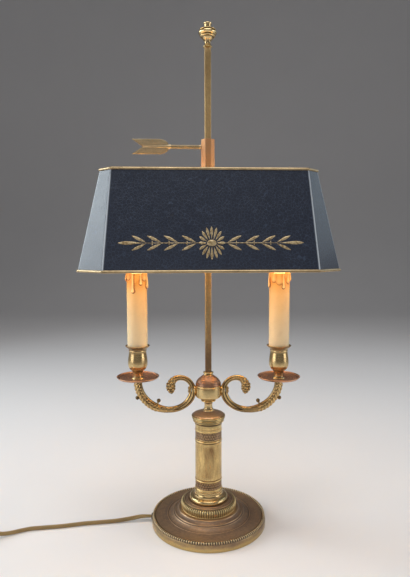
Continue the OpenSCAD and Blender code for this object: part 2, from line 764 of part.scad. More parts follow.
module bulb_glass() {
  neck = bulb_cap_d / 2 - 0.6;
  r = bulb_d / 2;
  outside = curve([[neck, 0], [neck + 2.6, 3.6], [r - 3.4, bulb_h * 0.16], [r, bulb_h * 0.32],
    [r - 1.2, bulb_h * 0.48], [r * 0.7, bulb_h * 0.68], [r * 0.38, bulb_h * 0.84],
    [r * 0.12, bulb_h * 0.96], [0.02, bulb_h]], 3);
  inside = [for (i = [len(outside) - 3:-1:0])
    [max(outside[i][0] - glass_t, 0.01), min(outside[i][1], bulb_h - 2)]];
  color("lightyellow") on_arm(holder_top) turned(concat([[neck, -16]], outside,
    [[0.01, bulb_h - 1.6]], inside, [[neck - glass_t, -16]]));
}

module left_drip_pan() {
  drip_pan();
}

module right_drip_pan() {
  mirror([1, 0, 0]) drip_pan();
}

module left_candle_cup() {
  candle_cup();
}

module right_candle_cup() {
  mirror([1, 0, 0]) candle_cup();
}

module left_candle_sleeve() {
  candle_sleeve();
}

module right_candle_sleeve() {
  mirror([1, 0, 0]) candle_sleeve();
}

module left_lampholder() {
  lampholder();
}

module right_lampholder() {
  mirror([1, 0, 0]) lampholder();
}

module left_bulb_glass() {
  bulb_glass();
}

module right_bulb_glass() {
  mirror([1, 0, 0]) bulb_glass();
}

// Wiring inside the lamp

module supply_wire() {
  bend = 6;
  path = concat([[cord_x, 0, cord_z], [-base_r / 2, 0, cord_z]],
    [for (a = [0:22.5:90]) [-bend + bend * sin(a), 0, cord_z + bend - bend * cos(a)]],
    [[0, 0, column_z], [0, 0, lug_z - joint_r]]);
  even = [for (p = path) 2 * wire_r];
  color("dimgray") plane_tube(path, even, even, 8);
}

module wire_joint() {
  color("ivory") along_x(-joint_l / 2, lug_z) cylinder(h = joint_l, r = joint_r, $fn = 32);
}

module arm_wires() {
  color("dimgray") both_sides() wire_way(2 * wire_r);
}

// Rod and shade

module rod() {
  foot = dome_z + dome_h - ceiling - nut_t - 1;
  color("darkgoldenrod") on_rod() union() {
    translate([-rod_w / 2, -rod_w / 2, rod_z + play]) cube([rod_w, rod_w, rod_l - play]);
    at(foot) cylinder(h = rod_z + play - foot + 1, d = spigot_d, $fn = 48);
    at(rod_top - 1) cylinder(h = finial_h * 0.3 + 1, d = rod_w / 2, $fn = 32);
  }
}

module rod_nut() {
  z = dome_z + dome_h - ceiling - nut_t - play;
  color("silver") on_rod() at(z) nut(nut_af, nut_t, spigot_d / 2 + fit);
}

module finial() {
  r = finial_d / 2;
  h = finial_h;
  outside = concat([[r * 0.5, 0], [r * 0.52, h * 0.06]],
    curve([[r * 0.45, h * 0.1], [r * 0.33, h * 0.2], [r * 0.36, h * 0.28], [r * 0.75, h * 0.38]], 3),
    [[r * 0.84, h * 0.4], [r * 0.84, h * 0.44]],
    arc([r * 0.78, h * 0.56], r * 0.22, h * 0.1, -70, 70),
    [[r * 0.9, h * 0.68], [r * 0.9, h * 0.71], [r * 0.6, h * 0.74]],
    curve([[r * 0.45, h * 0.77], [r * 0.41, h * 0.81], [r * 0.46, h * 0.86]], 2),
    arc([r * 0.3, h * 0.93], r * 0.2, h * 0.05, -40, 80, 4), [[0.02, h]]);
  color("gold") on_rod() at(rod_top) difference() {
    turned(concat([[0, 0]], outside));
    at(-1) cylinder(h = finial_h * 0.3 + 1 + fit, d = rod_w / 2 + 2 * fit, $fn = 32);
  }
}

module shade_sleeve() {
  bore = rod_w + 2 * play;
  color("sienna") on_rod() difference() {
    at(sleeve_z) rotate(22.5) cylinder(h = sleeve_h, r = sleeve_w / 2 / cos(22.5), $fn = 8);
    translate([-bore / 2, -bore / 2, sleeve_z - 1]) cube([bore, bore, sleeve_h + 2]);
    along_x(-sleeve_w, key_z) cylinder(h = sleeve_w, d = key_d + 2 * fit, $fn = 48);
  }
}

// Half sizes of the shade's outside at height z
function shade_part(z) = (z - shade_z) / shade_h;
function half_w(z) = (shade_w + (shade_top_w - shade_w) * shade_part(z)) / 2;
function half_depth(z) = (shade_depth + (shade_top_depth - shade_depth) * shade_part(z)) / 2;
function cant(z) = corner + (corner_top - corner) * shade_part(z);

// The shade's eight-cornered outline at height z, moved in by d
function octagon(z, d) =
  let (w = half_w(z) - d, b = half_depth(z) - d, c = cant(z) - d * (2 - sqrt(2)))
  [[w - c, -b, z], [w, c - b, z], [w, b - c, z], [w - c, b, z],
    [c - w, b, z], [-w, b - c, z], [-w, c - b, z], [c - w, -b, z]];

// A closed section of [inset, height] points carried round the shade's outline
module round_shade(section) {
  n = len(section);
  faces = [for (i = [0:n - 1], k = [0:7])
    let (j = (i + 1) % n, m = (k + 1) % 8)
    each [[i * 8 + k, j * 8 + m, i * 8 + m], [i * 8 + k, j * 8 + k, j * 8 + m]]];
  polyhedron([for (s = section) each octagon(s[1], s[0])], faces);
}

module shade_shell() {
  color("midnightblue") on_rod()
    round_shade([[0, shade_z], [0, shade_top], [sheet_t, shade_top], [sheet_t, shade_z]]);
}

// Half-round edging that grips the sheet's edge; up is 1 on the upper edge and -1 on the lower
function edging(z, up) = concat(
  [for (i = [0:9]) let (a = -60 + 300 * i / 9)
    [sheet_t / 2 + trim_d / 2 * cos(a), z + up * trim_d / 2 * sin(a)]],
  [[0, z - up * trim_d / 2 * sin(60)], [0, z], [sheet_t, z], [sheet_t, z - up * trim_d / 2 * sin(60)]]);

module shade_top_trim() {
  section = edging(shade_top, 1);
  color("gold") on_rod() round_shade([for (i = [len(section) - 1:-1:0]) section[i]]);
}

module shade_bottom_trim() {
  color("gold") on_rod() round_shade(edging(shade_z, -1));
}

module shade_bridge() {
  hole = rod_w + 2 * apart;
  inner = function(z) half_depth(z) - sheet_t;
  top = bridge_z + bridge_t;
  low = bridge_z - tab_l;
  half = [[inner(top), top], [inner(low), low], [inner(low) - bridge_t, low],
    [inner(bridge_z) - bridge_t, bridge_z]];
  outline = concat(half, [for (i = [3:-1:0]) [-half[i][0], half[i][1]]]);
  color("dimgray") on_rod() difference() {
    translate([-bridge_w / 2, 0, 0]) rotate([90, 0, 90]) linear_extrude(bridge_w) polygon(outline);
    translate([-hole / 2, -hole / 2, bridge_z - 1]) cube([hole, hole, bridge_t + 2]);
  }
}

module arrow_key() {
  h = feather_w / 2;
  far = key_shoulder + feather_l;
  shoulder = 10;
  top = concat([[key_shoulder, 0]],
    arc([key_shoulder + shoulder, key_d / 2], shoulder, h - key_d / 2, 180, 90), [[far, h]]);
  outline = concat(top, [[far - feather_notch, 0]], [for (i = [len(top) - 1:-1:1]) [top[i][0], -top[i][1]]]);
  color("peru") on_rod() at(key_z) rotate(180) union() {
    translate([0, feather_t / 2, 0]) rotate([90, 0, 0]) linear_extrude(feather_t) polygon(outline);
    along_x(rod_w / 2 + play, 0) cylinder(h = key_shoulder + 8 - rod_w / 2, d = key_d, $fn = 48);
  }
}

// Cord

module cord_bush() {
  color("black") difference() {
    union() {
      along_x(cord_x, cord_z) cylinder(h = base_wall + bush_flange + play, d = bush_d - 2 * fit, $fn = 48);
      difference() {
        along_x(cord_x, cord_z) cylinder(h = 3, d = bush_d + 1.4, $fn = 48);
        cylinder(h = 4 * cord_z, r = base_r);
      }
    }
    along_x(cord_x - 1, cord_z) cylinder(h = base_r, r = bush_bore, $fn = 32);
  }
}

module cord_lead() {
  color("darkkhaki") flex(lead_route, lead_roll, 8);
}

module cord_link() {
  color("darkkhaki") flex(link_route, on_edge(link_route), 8);
}

module cord_tail() {
  color("darkkhaki") flex(tail_route, on_edge(tail_route), 8);
}

// Centre of the coil's cord after u turns: the loops spiral in on the lower layer, climb in the half turn
// where the spiral turns back, and spiral out again on the upper layer
coil_y = cord_y + coil_out;
function coil_point(u) =
  let (v = u - coil_turns / 2, r = coil_r + coil_pitch * (sqrt(v * v + 0.02) - 0.02),
    climb = ease(min(max(2 * v + 0.5, 0), 1)), a = -90 - 360 * u)
  [coil_x + r * cos(a), coil_y + r * sin(a), layer_1 + (layer_2 - layer_1) * climb];

coil_rings = 24;
coil_path = concat([[coil_x + flex_w, cord_y, layer_1]],
  [for (i = [0:coil_rings * coil_turns]) coil_point(i / coil_rings)],
  [[coil_x - flex_w, cord_y, layer_2]]);

// Outline points of ring i of the coil, four to a side of its six-sided section
function coil_outline(i) =
  let (six = flex_ring(coil_path, i, 90, 6))
  [for (k = [0:5], j = [0:3]) six[k] + (six[(k + 1) % 6] - six[k]) * j / 4];

// Least distance between the outlines of loops that lie at the same angle round the coil
function coil_self_gap() = min([for (k = [1:coil_rings])
  let (loops = [for (m = [0:coil_turns - 1]) coil_outline(k + m * coil_rings)])
  for (m = [0:coil_turns - 2], o = [m + 1:coil_turns - 1])
    min([for (p = loops[m], q = loops[o]) norm(p - q)])]);

module cord_coil() {
  echo(coil_least_gap_mm = coil_self_gap());
  color("darkkhaki") flex(coil_path, on_edge(coil_path), 6);
}

// A strap round the bundle of loops at the far side of the coil
module coil_tie() {
  w = 7;
  inner_low = coil_r - flex_t / 2 - apart - 0.4;
  inner_high = coil_out + flex_t / 2 + apart;
  tie_h = layer_2 + flex_w / 2 + play;
  color("black") translate([coil_x - w / 2, coil_y, 0]) difference() {
    translate([0, inner_low - tie_t, 0]) cube([w, inner_high - inner_low + 2 * tie_t, tie_h + tie_t]);
    translate([-1, inner_low, tie_t]) cube([w + 2, inner_high - inner_low, tie_h - tie_t]);
  }
}

// Length of the switch's narrowed ends, and of the curves that narrow them
switch_end = 16;
switch_curve = 14;

// Outline of the cord switch: straight sides with narrowed round ends
function switch_outline(inset) =
  let (l = switch_l / 2 - inset, w = switch_w / 2 - inset, e = flex_w / 2 + 1.6 - inset / 2,
    bend = arc([l - switch_end, e], switch_curve, w - e, 20, 90, 5),
    half = concat([[l, e]], bend, [for (i = [5:-1:0]) [-bend[i][0], bend[i][1]]], [[-l, e]]))
  concat(half, [for (p = half) -p]);

switch_wall = 1.8;
switch_top = 3;
rocker_l = 18;
rocker_w = 9;
trunnion_r = 1;
trunnion_l = 3;
rocker_z = 2 * switch_h - switch_top / 2;
screw_x = switch_l / 2 - 12;

module in_switch(z) {
  translate([switch_x - switch_l / 2, cord_y, z]) children();
}

module switch_half(floor_t) {
  difference() {
    linear_extrude(switch_h) polygon(switch_outline(0));
    at(floor_t) linear_extrude(switch_h) intersection() {
      polygon(switch_outline(switch_wall));
      square([2 * screw_x - 7, switch_w], center = true);
    }
    for (s = [-1, 1]) translate([s * screw_x, 0, -1]) cylinder(h = switch_h + 2, d = 2.6, $fn = 32);
  }
}

module switch_base() {
  color("black") in_switch(0) switch_half(switch_wall);
}

module switch_cover() {
  window_l = rocker_l + 1.6;
  window_w = rocker_w + 2 * apart;
  color("black") in_switch(0) difference() {
    translate([0, 0, 2 * switch_h]) mirror([0, 0, 1]) switch_half(switch_top);
    translate([-window_l / 2, -window_w / 2, switch_h]) cube([window_l, window_w, 2 * switch_h]);
    translate([0, switch_w / 2, rocker_z]) rotate([90, 0, 0])
      cylinder(h = switch_w, r = trunnion_r + fit, $fn = 32);
  }
}

module switch_screws() {
  color("silver") in_switch(0) for (s = [-1, 1]) translate([s * screw_x, 0, 0.6])
    cylinder(h = 2 * switch_h - 1.2, d = 2.6 - 2 * fit, $fn = 32);
}

// The rocker stands tilted, in the on position
module switch_rocker() {
  l = rocker_l / 2;
  color("dimgray") in_switch(rocker_z) rotate([0, rocker_tilt, 0]) union() {
    translate([0, rocker_w / 2, 0]) rotate([90, 0, 0]) linear_extrude(rocker_w)
      polygon([[-l, -1.6], [l, -1.6], [l, 1.9], [0, 1.9 + l * tan(rocker_tilt) * 0.5 - 0.6], [-l, 1.9]]);
    translate([0, rocker_w / 2 + trunnion_l, 0]) rotate([90, 0, 0])
      cylinder(h = rocker_w + 2 * trunnion_l, r = trunnion_r, $fn = 32);
  }
}

module plug_body() {
  back = 8;
  plan = [[0, -4], [-relief_l, -5.5], [-relief_l - 4, -back], [-relief_l - plug_l * 0.5, -back],
    [-relief_l - plug_l + 8, -plug_w / 2], [-relief_l - plug_l, -plug_w / 2]];
  side = [[0, 2.4], [-relief_l, 3.4], [-relief_l - 4, plug_t / 2], [-relief_l - plug_l, plug_t / 2]];
  color("black") translate([plug_x, cord_y, plug_z]) difference() {
    intersection() {
      at(-plug_t) linear_extrude(2 * plug_t)
        polygon(concat(plan, [for (i = [5:-1:0]) [plan[i][0], -plan[i][1]]]));
      translate([0, plug_w, 0]) rotate([90, 0, 0]) linear_extrude(2 * plug_w)
        polygon(concat(side, [for (i = [3:-1:0]) [side[i][0], -side[i][1]]]));
    }
    for (s = [-1, 1]) along_x(-relief_l - plug_l - 1, 0, s * pin_gap / 2)
      cylinder(h = pin_root + 1, r = pin_root_d / 2 + fit, $fn = 48);
  }
}

module plug_pins() {
  color("silver") translate([plug_x, cord_y, plug_z]) for (s = [-1, 1])
    along_x(-relief_l - plug_l - pin_l, 0, s * pin_gap / 2) union() {
      cylinder(h = pin_l - pin_neck, d = pin_d, $fn = 48);
      cylinder(h = pin_l + pin_root, d = pin_root_d, $fn = 48);
    }
}

base_foot();
bead_ring();
base_ballast();
base_felt();
base_washer();
base_nut();
tie_rod();
gadroon_ring();
column_foot();
column_tube();
column_rings();
column_capital();
column_cap();
neck_spindle();
hub_bowl();
hub_nut();
hub_dome();
rod_collar();
left_arm();
right_arm();
arm_nipples();
arm_nuts();
left_drip_pan();
right_drip_pan();
left_candle_cup();
right_candle_cup();
candle_screws();
left_candle_sleeve();
right_candle_sleeve();
left_lampholder();
right_lampholder();
socket_shells();
left_bulb_glass();
right_bulb_glass();
bulb_caps();
supply_wire();
wire_joint();
arm_wires();
cord_bush();
cord_lead();
switch_base();
switch_cover();
switch_rocker();
switch_screws();
cord_link();
cord_coil();
coil_tie();
cord_tail();
plug_body();
plug_pins();
rod();
rod_nut();
finial();
shade_sleeve();
shade_bridge();
shade_shell();
shade_top_trim();
shade_bottom_trim();
arrow_key();
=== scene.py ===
"""Looks of a two-light brass table lamp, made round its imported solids.

Lengths are millimetres and angles degrees unless a line says otherwise; shell() writes every mesh in metres.
Where a piece stands for a node, its place and main sizes come from that node's box in the frame.
"""
import json
from collections import namedtuple

import bmesh
import bpy
import numpy as np
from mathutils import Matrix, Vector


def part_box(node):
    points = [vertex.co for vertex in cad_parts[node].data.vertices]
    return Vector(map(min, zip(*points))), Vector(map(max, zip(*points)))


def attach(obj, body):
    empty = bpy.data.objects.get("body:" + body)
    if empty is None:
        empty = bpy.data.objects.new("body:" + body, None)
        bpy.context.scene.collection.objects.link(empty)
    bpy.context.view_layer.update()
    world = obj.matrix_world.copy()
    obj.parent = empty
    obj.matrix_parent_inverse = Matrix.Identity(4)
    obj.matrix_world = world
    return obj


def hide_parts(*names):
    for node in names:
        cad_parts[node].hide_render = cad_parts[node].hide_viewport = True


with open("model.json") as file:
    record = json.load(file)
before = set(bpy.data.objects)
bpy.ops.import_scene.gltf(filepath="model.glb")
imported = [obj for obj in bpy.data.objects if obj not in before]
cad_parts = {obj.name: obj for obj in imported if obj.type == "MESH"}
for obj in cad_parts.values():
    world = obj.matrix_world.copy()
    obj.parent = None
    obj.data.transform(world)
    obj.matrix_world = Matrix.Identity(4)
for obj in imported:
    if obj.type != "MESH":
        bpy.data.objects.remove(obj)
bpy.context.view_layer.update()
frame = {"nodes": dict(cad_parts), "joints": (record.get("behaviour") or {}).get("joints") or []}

MM = 0.001
TAU = 2 * np.pi
nodes = frame["nodes"]
joints = {joint["name"]: joint for joint in frame["joints"]}

# A closed skin: a grid of points, how deep each lies in a hollow (1) or stands on an edge (-1), which in
# places carries painted shade, whether its last row meets its first, and each point's distance along a
# turned outline
Skin = namedtuple("Skin", "points hollow ring along", defaults=[0.0])


def low(node):
    """Lowest corner of a node's box, in millimetres."""
    return np.array(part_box(node)[0]) / MM


def high(node):
    """Highest corner of a node's box, in millimetres."""
    return np.array(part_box(node)[1]) / MM


def size(node):
    """Width, depth and height of a node's box, in millimetres."""
    return high(node) - low(node)


def middle(node):
    """Middle of a node's box, in millimetres."""
    return (low(node) + high(node)) / 2


def placed(name, data):
    """A new object of that data, in the scene."""
    made = bpy.data.objects.new(name, data)
    bpy.context.scene.collection.objects.link(made)
    return made


# Camera, fitted to the photograph: 410 x 577 pixels, 509.18 pixels of focal length

IMAGE_LONG = 577
FOCAL = 509.18
SENSOR = 36
EYE = (-3.86, -652.0, 359.21)
PITCH = 4.38
ROLL = 0.15


def photo_camera():
    """A camera at the photograph's place, looking along +Y and a little down."""
    data = bpy.data.cameras.new("photo_camera")
    data.sensor_width = SENSOR
    data.lens = FOCAL / IMAGE_LONG * SENSOR
    data.clip_start = 0.01
    camera = placed("photo_camera", data)
    camera.location = np.array(EYE) * MM
    camera.rotation_euler = (np.radians(90 - PITCH), np.radians(ROLL), 0)
    bpy.context.scene.camera = camera


# Shader maths

class Value:
    """A number in a finish's node tree. Arithmetic on it adds Math nodes."""

    def __init__(self, finish, socket):
        self.finish = finish
        self.socket = socket

    def math(self, operation, first, second):
        """A Math node on two numbers or Values."""
        return self.finish.node("ShaderNodeMath", {"operation": operation}, {0: first, 1: second})

    def __add__(self, other):
        return self.math("ADD", self, other)

    __radd__ = __add__

    def __sub__(self, other):
        return self.math("SUBTRACT", self, other)

    def __rsub__(self, other):
        return self.math("SUBTRACT", other, self)

    def __mul__(self, other):
        return self.math("MULTIPLY", self, other)

    __rmul__ = __mul__

    def __truediv__(self, other):
        return self.math("DIVIDE", self, other)

    def __pow__(self, other):
        return self.math("POWER", self, other)

    def clamp(self):
        """The number, held between 0 and 1."""
        return self.finish.node("ShaderNodeClamp", inputs={0: self})

    def step(self, start, end):
        """0 up to start, 1 from end, and a smooth step between."""
        return self.finish.node("ShaderNodeMapRange", {"interpolation_type": "SMOOTHSTEP"},
                                {0: self, 1: start, 2: end, 3: 0.0, 4: 1.0})


class Finish:
    """A procedural material on one Principled shader."""

    def __init__(self, name):
        self.material = bpy.data.materials.new(name)
        self.material.use_nodes = True
        self.tree = self.material.node_tree
        self.shader = self.tree.nodes["Principled BSDF"]
        self.place = self.node("ShaderNodeTexCoord", out="Object")

    def node(self, kind, settings=None, inputs=None, out=0):
        """A new node with these settings and inputs. Gives one of its outputs."""
        made = self.tree.nodes.new(kind)
        for key, value in (settings or {}).items():
            setattr(made, key, value)
        for key, value in (inputs or {}).items():
            self.join(made.inputs[key], value)
        return Value(self, made.outputs[out])

    def join(self, socket, value):
        """Link a Value to a socket, or write a plain number into it."""
        if isinstance(value, Value):
            self.tree.links.new(value.socket, socket)
        else:
            socket.default_value = value

    def mix(self, share, colour_a, colour_b):
        """Colour a, with that share of colour b."""
        return self.node("ShaderNodeMix", {"data_type": "RGBA"}, {0: share, 6: colour_a, 7: colour_b}, out=2)

    def attribute(self, name):
        """A number that the mesh holds at its points."""
        return self.node("ShaderNodeAttribute", {"attribute_name": name}, out="Fac")

    def axis(self, letter):
        """One object coordinate, in metres."""
        return self.node("ShaderNodeSeparateXYZ", inputs={0: self.place}, out=letter)

    def stretched(self, stretch):
        """Object coordinates times a factor on each axis."""
        return self.node("ShaderNodeMapping", inputs={"Vector": self.place, "Scale": stretch})

    def noise(self, scale, detail=3, stretch=(1, 1, 1)):
        """Noise with that many cells to a metre, finer along an axis by its stretch."""
        return self.node("ShaderNodeTexNoise", {"noise_dimensions": "3D"},
                         {"Vector": self.stretched(stretch), "Scale": scale, "Detail": detail})

    def edges(self, scale, stretch=(1, 1, 1)):
        """Distance to the nearest edge between cells, with that many cells to a metre."""
        return self.node("ShaderNodeTexVoronoi", {"feature": "DISTANCE_TO_EDGE"},
                         {"Vector": self.stretched(stretch), "Scale": scale}, out="Distance")

    def bump(self, height, depth_mm):
        """Normal of a surface raised by height times a depth."""
        inputs = {"Height": height, "Distance": depth_mm * MM}
        return self.node("ShaderNodeBump", inputs=inputs, out="Normal")

    def set(self, sockets):
        """Join values to the shader's sockets. Gives the material."""
        for key, value in sockets.items():
            self.join(self.shader.inputs[key], value)
        return self.material


def srgb(red, green, blue):
    """A colour given in 8-bit display values, as linear numbers."""
    c = np.array([red, green, blue]) / 255
    c = np.where(c < 0.04045, c / 12.92, ((c + 0.055) / 1.055) ** 2.4)
    return (*c, 1.0)


def dimmed(colour, share):
    """A linear colour times a share."""
    return (*(share * np.array(colour[:3])), 1.0)


# Finishes

def brass(name, bright, film, cover, rough, streaks, matt):
    """Old brass: bright metal under a film of patina, which lies in hollows and clouds and is worn off
    edges, with grime in the deepest grooves; where the mesh marks painted shade as hollow, the same film and
    grime paint it.
    bright and film are display colours, cover is the film's share, streaks the depth of the fine lines that
    the lathe left, and matt how far the film hides the metal's gloss."""
    f = Finish(name)
    hollow = f.attribute("hollow")
    cloud = f.noise(38, detail=5)
    spots = f.noise(260, detail=4)
    speck = f.noise(1100, detail=2)
    lines = f.node("ShaderNodeTexNoise", {"noise_dimensions": "1D"},
                   {"W": f.attribute("along"), "Scale": 1.5, "Detail": 4.0})
    worn = (cover + 1.2 * (cloud - 0.5) + 0.7 * (spots - 0.5) + 0.9 * hollow + 0.8 * (lines - 0.5)).clamp()
    deep = (1.2 * hollow - 0.35).clamp()
    metal = f.mix(worn, srgb(*bright), srgb(*film))
    return f.set({"Base Color": f.mix(deep, metal, dimmed(srgb(*film), 0.3)),
                  "Metallic": (1 - matt * worn - 0.3 * deep).clamp(),
                  "Roughness": rough + 0.18 * worn + 0.14 * (lines - 0.5) + 0.2 * deep,
                  "Normal": f.bump(lines * streaks + speck * 0.35, 0.03)})


def chased_brass():
    """Satin brass with brown clouds, whose chased bands are darker and browner where the mesh marks them."""
    f = Finish("chased_brass")
    stain = f.attribute("stain")
    cloud = f.noise(55, detail=6, stretch=(1, 1, 0.6))
    speck = f.noise(1500, detail=2)
    scratch = f.noise(420, detail=3, stretch=(1, 1, 0.15))
    worn = (0.22 + 1.3 * (cloud - 0.5) + 0.9 * f.attribute("hollow") + 0.8 * (scratch - 0.5)
            + 0.4 * (speck - 0.5)).clamp()
    body = f.mix(worn, srgb(222, 194, 134), srgb(126, 92, 58))
    band = f.mix((worn + 0.15).clamp(), srgb(180, 150, 114), srgb(76, 57, 47))
    return f.set({"Base Color": f.mix(stain, body, band),
                  "Metallic": 1 - 0.3 * worn,
                  "Roughness": 0.2 + 0.14 * worn + 0.06 * stain,
                  "Normal": f.bump(scratch * 0.5 + speck * 0.4, 0.03)})


def shade_paint():
    """Nearly black blue paint with a fine crackle and a satin varnish; pale lines at the folds, partly wear
    and partly a painted highlight; cream inside.
    """
    f = Finish("shade_paint")
    drift = f.noise(90, detail=4)
    crack = (1 - f.edges(260.0).step(0.0, 0.06)) * (0.2 + drift)
    fine = 1 - f.edges(420.0, (1.1, 1.1, 0.8)).step(0.0, 0.1)
    crack = (crack + 0.5 * fine * drift).clamp()
    outside = f.mix(crack, srgb(5, 18, 40), srgb(46, 60, 84))
    # Pale lines along the folds: partly worn paint, partly a painted highlight
    outside = f.mix(f.attribute("fold") * drift.step(0.1, 0.45), outside, srgb(186, 194, 202))
    return f.set({"Base Color": f.mix(f.attribute("inside"), outside, srgb(240, 226, 196)),
                  "Roughness": 0.33 + 0.12 * drift + 0.12 * crack,
                  "Specular IOR Level": 0.6,
                  "Coat Weight": 0.4,
                  "Coat Roughness": 0.2,
                  "Normal": f.bump(0.5 * drift - crack, 0.07)})


def gilding():
    """Gold paint of the ornament, laid on unevenly."""
    f = Finish("gilding")
    patch = f.noise(420, detail=4)
    return f.set({"Base Color": f.mix(patch.step(0.35, 0.7), srgb(214, 192, 150), srgb(150, 124, 86)),
                  "Metallic": 0.75,
                  "Roughness": 0.36 + 0.2 * patch,
                  "Normal": f.bump(patch, 0.03)})


def candle_ivory(top, seat):
    """Ivory plastic with the lit bulb's light painted on: it is painted amber and given a painted glow
    towards its top, where the bulb stands; the drips are painted paler as a highlight, with painted brown
    shadows along their edges. Heights are in metres."""
    f = Finish("candle_ivory")
    up = (f.axis("Z") - seat) / (top - seat)
    cloud = f.noise(140, detail=4)
    # edge is the painted shadow along the drips' edges, read from the hollow attribute
    edge = (f.attribute("hollow") + 0.3 * (cloud - 0.5)).clamp()
    # Painted warm bulb light: the wax is painted more orange upwards and amber near the top
    wax = f.mix(up.step(0.1, 0.9), srgb(233, 212, 172), srgb(228, 186, 124))
    wax = f.mix(up.step(0.7, 0.96), wax, srgb(218, 143, 42))
    # Painted highlight: the drips are painted paler where their wax is thick
    wax = f.mix((0.7 * f.attribute("drip")).clamp(), wax, srgb(250, 220, 158))
    # Painted glow: the sleeve emits amber light towards its top, though it is no lamp
    glow = up.step(-0.7, 1.1) ** 2.0 * (1 - 0.9 * edge)
    return f.set({"Base Color": f.mix(edge, wax, srgb(142, 74, 10)),
                  "Roughness": 0.4 + 0.15 * cloud,
                  "Emission Color": f.mix(glow, srgb(0, 0, 0), srgb(255, 166, 44)),
                  "Emission Strength": 0.04,
                  "Subsurface Weight": 0.06,
                  "Subsurface Radius": (0.006, 0.003, 0.001),
                  "Subsurface Scale": 0.5,
                  "Normal": f.bump(cloud, 0.04)})


def lit_glass():
    """Frosted glass of the lit bulbs."""
    f = Finish("lit_glass")
    frost = f.noise(900, detail=2)
    return f.set({"Base Color": srgb(255, 240, 214),
                  "Roughness": 0.35 + 0.2 * frost,
                  "Emission Color": f.mix(frost, srgb(255, 214, 150), srgb(255, 196, 120)),
                  "Emission Strength": 2.2,
                  "Normal": f.bump(frost, 0.02)})


def plastic(name, colour, shade, rough):
    """Moulded plastic with a fine grain and faint cloudiness."""
    f = Finish(name)
    grain = f.noise(1600, detail=2)
    cloud = f.noise(50, detail=3)
    return f.set({"Base Color": f.mix(cloud.step(0.3, 0.75), srgb(*colour), srgb(*shade)),
                  "Roughness": rough + 0.15 * (grain - 0.5),
                  "Normal": f.bump(grain, 0.02)})


def gold_flex():
    """Gold-tinted flex: clear plastic over twisted strands, which show as fine slanting lines."""
    f = Finish("gold_flex")
    strand = f.node("ShaderNodeTexWave", {"wave_type": "BANDS", "bands_direction": "DIAGONAL"},
                    {"Vector": f.place, "Scale": 260.0, "Distortion": 3.0, "Detail": 2.0}, out="Fac")
    cloud = f.noise(70, detail=4)
    shade = (0.55 * strand + 0.45 * cloud).clamp()
    return f.set({"Base Color": f.mix(shade, srgb(108, 86, 48), srgb(176, 146, 90)),
                  "Metallic": 0.35,
                  "Roughness": 0.34 + 0.12 * cloud,
                  "Coat Weight": 0.5,
                  "Coat Roughness": 0.2,
                  "Normal": f.bump(strand, 0.03)})


def steel(name, colour):
    """Plated metal with fine drawn lines and dull patches."""
    f = Finish(name)
    lines = f.noise(220, detail=3, stretch=(1, 1, 14))
    dull = f.noise(60, detail=4)
    return f.set({"Base Color": f.mix(dull.step(0.35, 0.8), srgb(*colour), dimmed(srgb(*colour), 0.6)),
                  "Metallic": 1.0,
                  "Roughness": 0.28 + 0.2 * lines,
                  "Normal": f.bump(lines, 0.02)})


def cast_iron():
    """Rough, pitted iron of the ballast."""
    f = Finish("cast_iron")
    pits = f.noise(420, detail=5)
    return f.set({"Base Color": f.mix(pits, srgb(58, 56, 54), srgb(96, 90, 84)),
                  "Metallic": 0.6,
                  "Roughness": 0.6 + 0.2 * pits,
                  "Normal": f.bump(pits, 0.25)})


def green_felt():
    """Clumped green felt of the pad under the base."""
    f = Finish("green_felt")
    fuzz = f.noise(900, detail=6)
    clump = f.noise(90, detail=4)
    pile = (0.6 * fuzz + 0.4 * clump).clamp()
    return f.set({"Base Color": f.mix(pile, srgb(24, 46, 30), srgb(66, 98, 66)),
                  "Roughness": 0.85 + 0.1 * fuzz,
                  "Sheen Weight": 0.4,
                  "Normal": f.bump(fuzz, 0.2)})


# Outlines and skins

# Radii of bores, and the radius at which a solid outline stops short of its axis
TIE_BORE = 4.05
SPIGOT_BORE = 3.95
SCREW_BORE = 3.05
STUD_BORE = 2.05
AXIS = 0.05


def angles(n):
    """n even angles of a full turn, in radians."""
    return np.arange(n) * TAU / n


def round_axis(radius, a, z):
    """Points at a radius, an angle a in radians and a height z: (radius cos a, radius sin a, z)."""
    return np.stack(np.broadcast_arrays(radius * np.cos(a), radius * np.sin(a), z), -1)


def arc(centre, rx, rz, start, end, n=8):
    """Points of an elliptical arc: the centre plus (rx cos a, rz sin a) at n + 1 even angles a."""
    a = np.radians(np.linspace(start, end, n + 1))
    return np.column_stack([centre[0] + rx * np.cos(a), centre[1] + rz * np.sin(a)])


def curve(points, n=4):
    """A smooth line through points: on each span the cubic whose slope at a point is half the way between
    its neighbours, in n steps."""
    p = np.asarray(points, float)
    spans = np.arange(len(p) - 1)
    a, b, c, d = (p[np.clip(spans + k, 0, len(p) - 1)] for k in (-1, 0, 1, 2))
    t = (np.arange(n) / n)[:, None, None]
    line = (b + (c - a) * t / 2 + (2 * a - 5 * b + 4 * c - d) * t ** 2 / 2
            + (3 * b - a - 3 * c + d) * t ** 3 / 2)
    return np.vstack([line.transpose(1, 0, 2).reshape(-1, p.shape[1]), p[-1:]])


def unit(v):
    """Vectors drawn to a length of 1."""
    return v / np.linalg.norm(v, axis=-1, keepdims=True)


def travelled(line):
    """Distance along a line of points, at each of them."""
    return np.concatenate([[0], np.cumsum(np.linalg.norm(np.diff(line, axis=0), axis=1))])


def smooth(x, start, end):
    """0 up to start, 1 from end, and 3 t^2 - 2 t^3 between."""
    t = np.clip((x - start) / (end - start), 0, 1)
    return t * t * (3 - 2 * t)


def dip(x, centre, width):
    """A bell curve: 1 at the centre, falling off over the width."""
    return np.exp(-((x - centre) / width) ** 2)


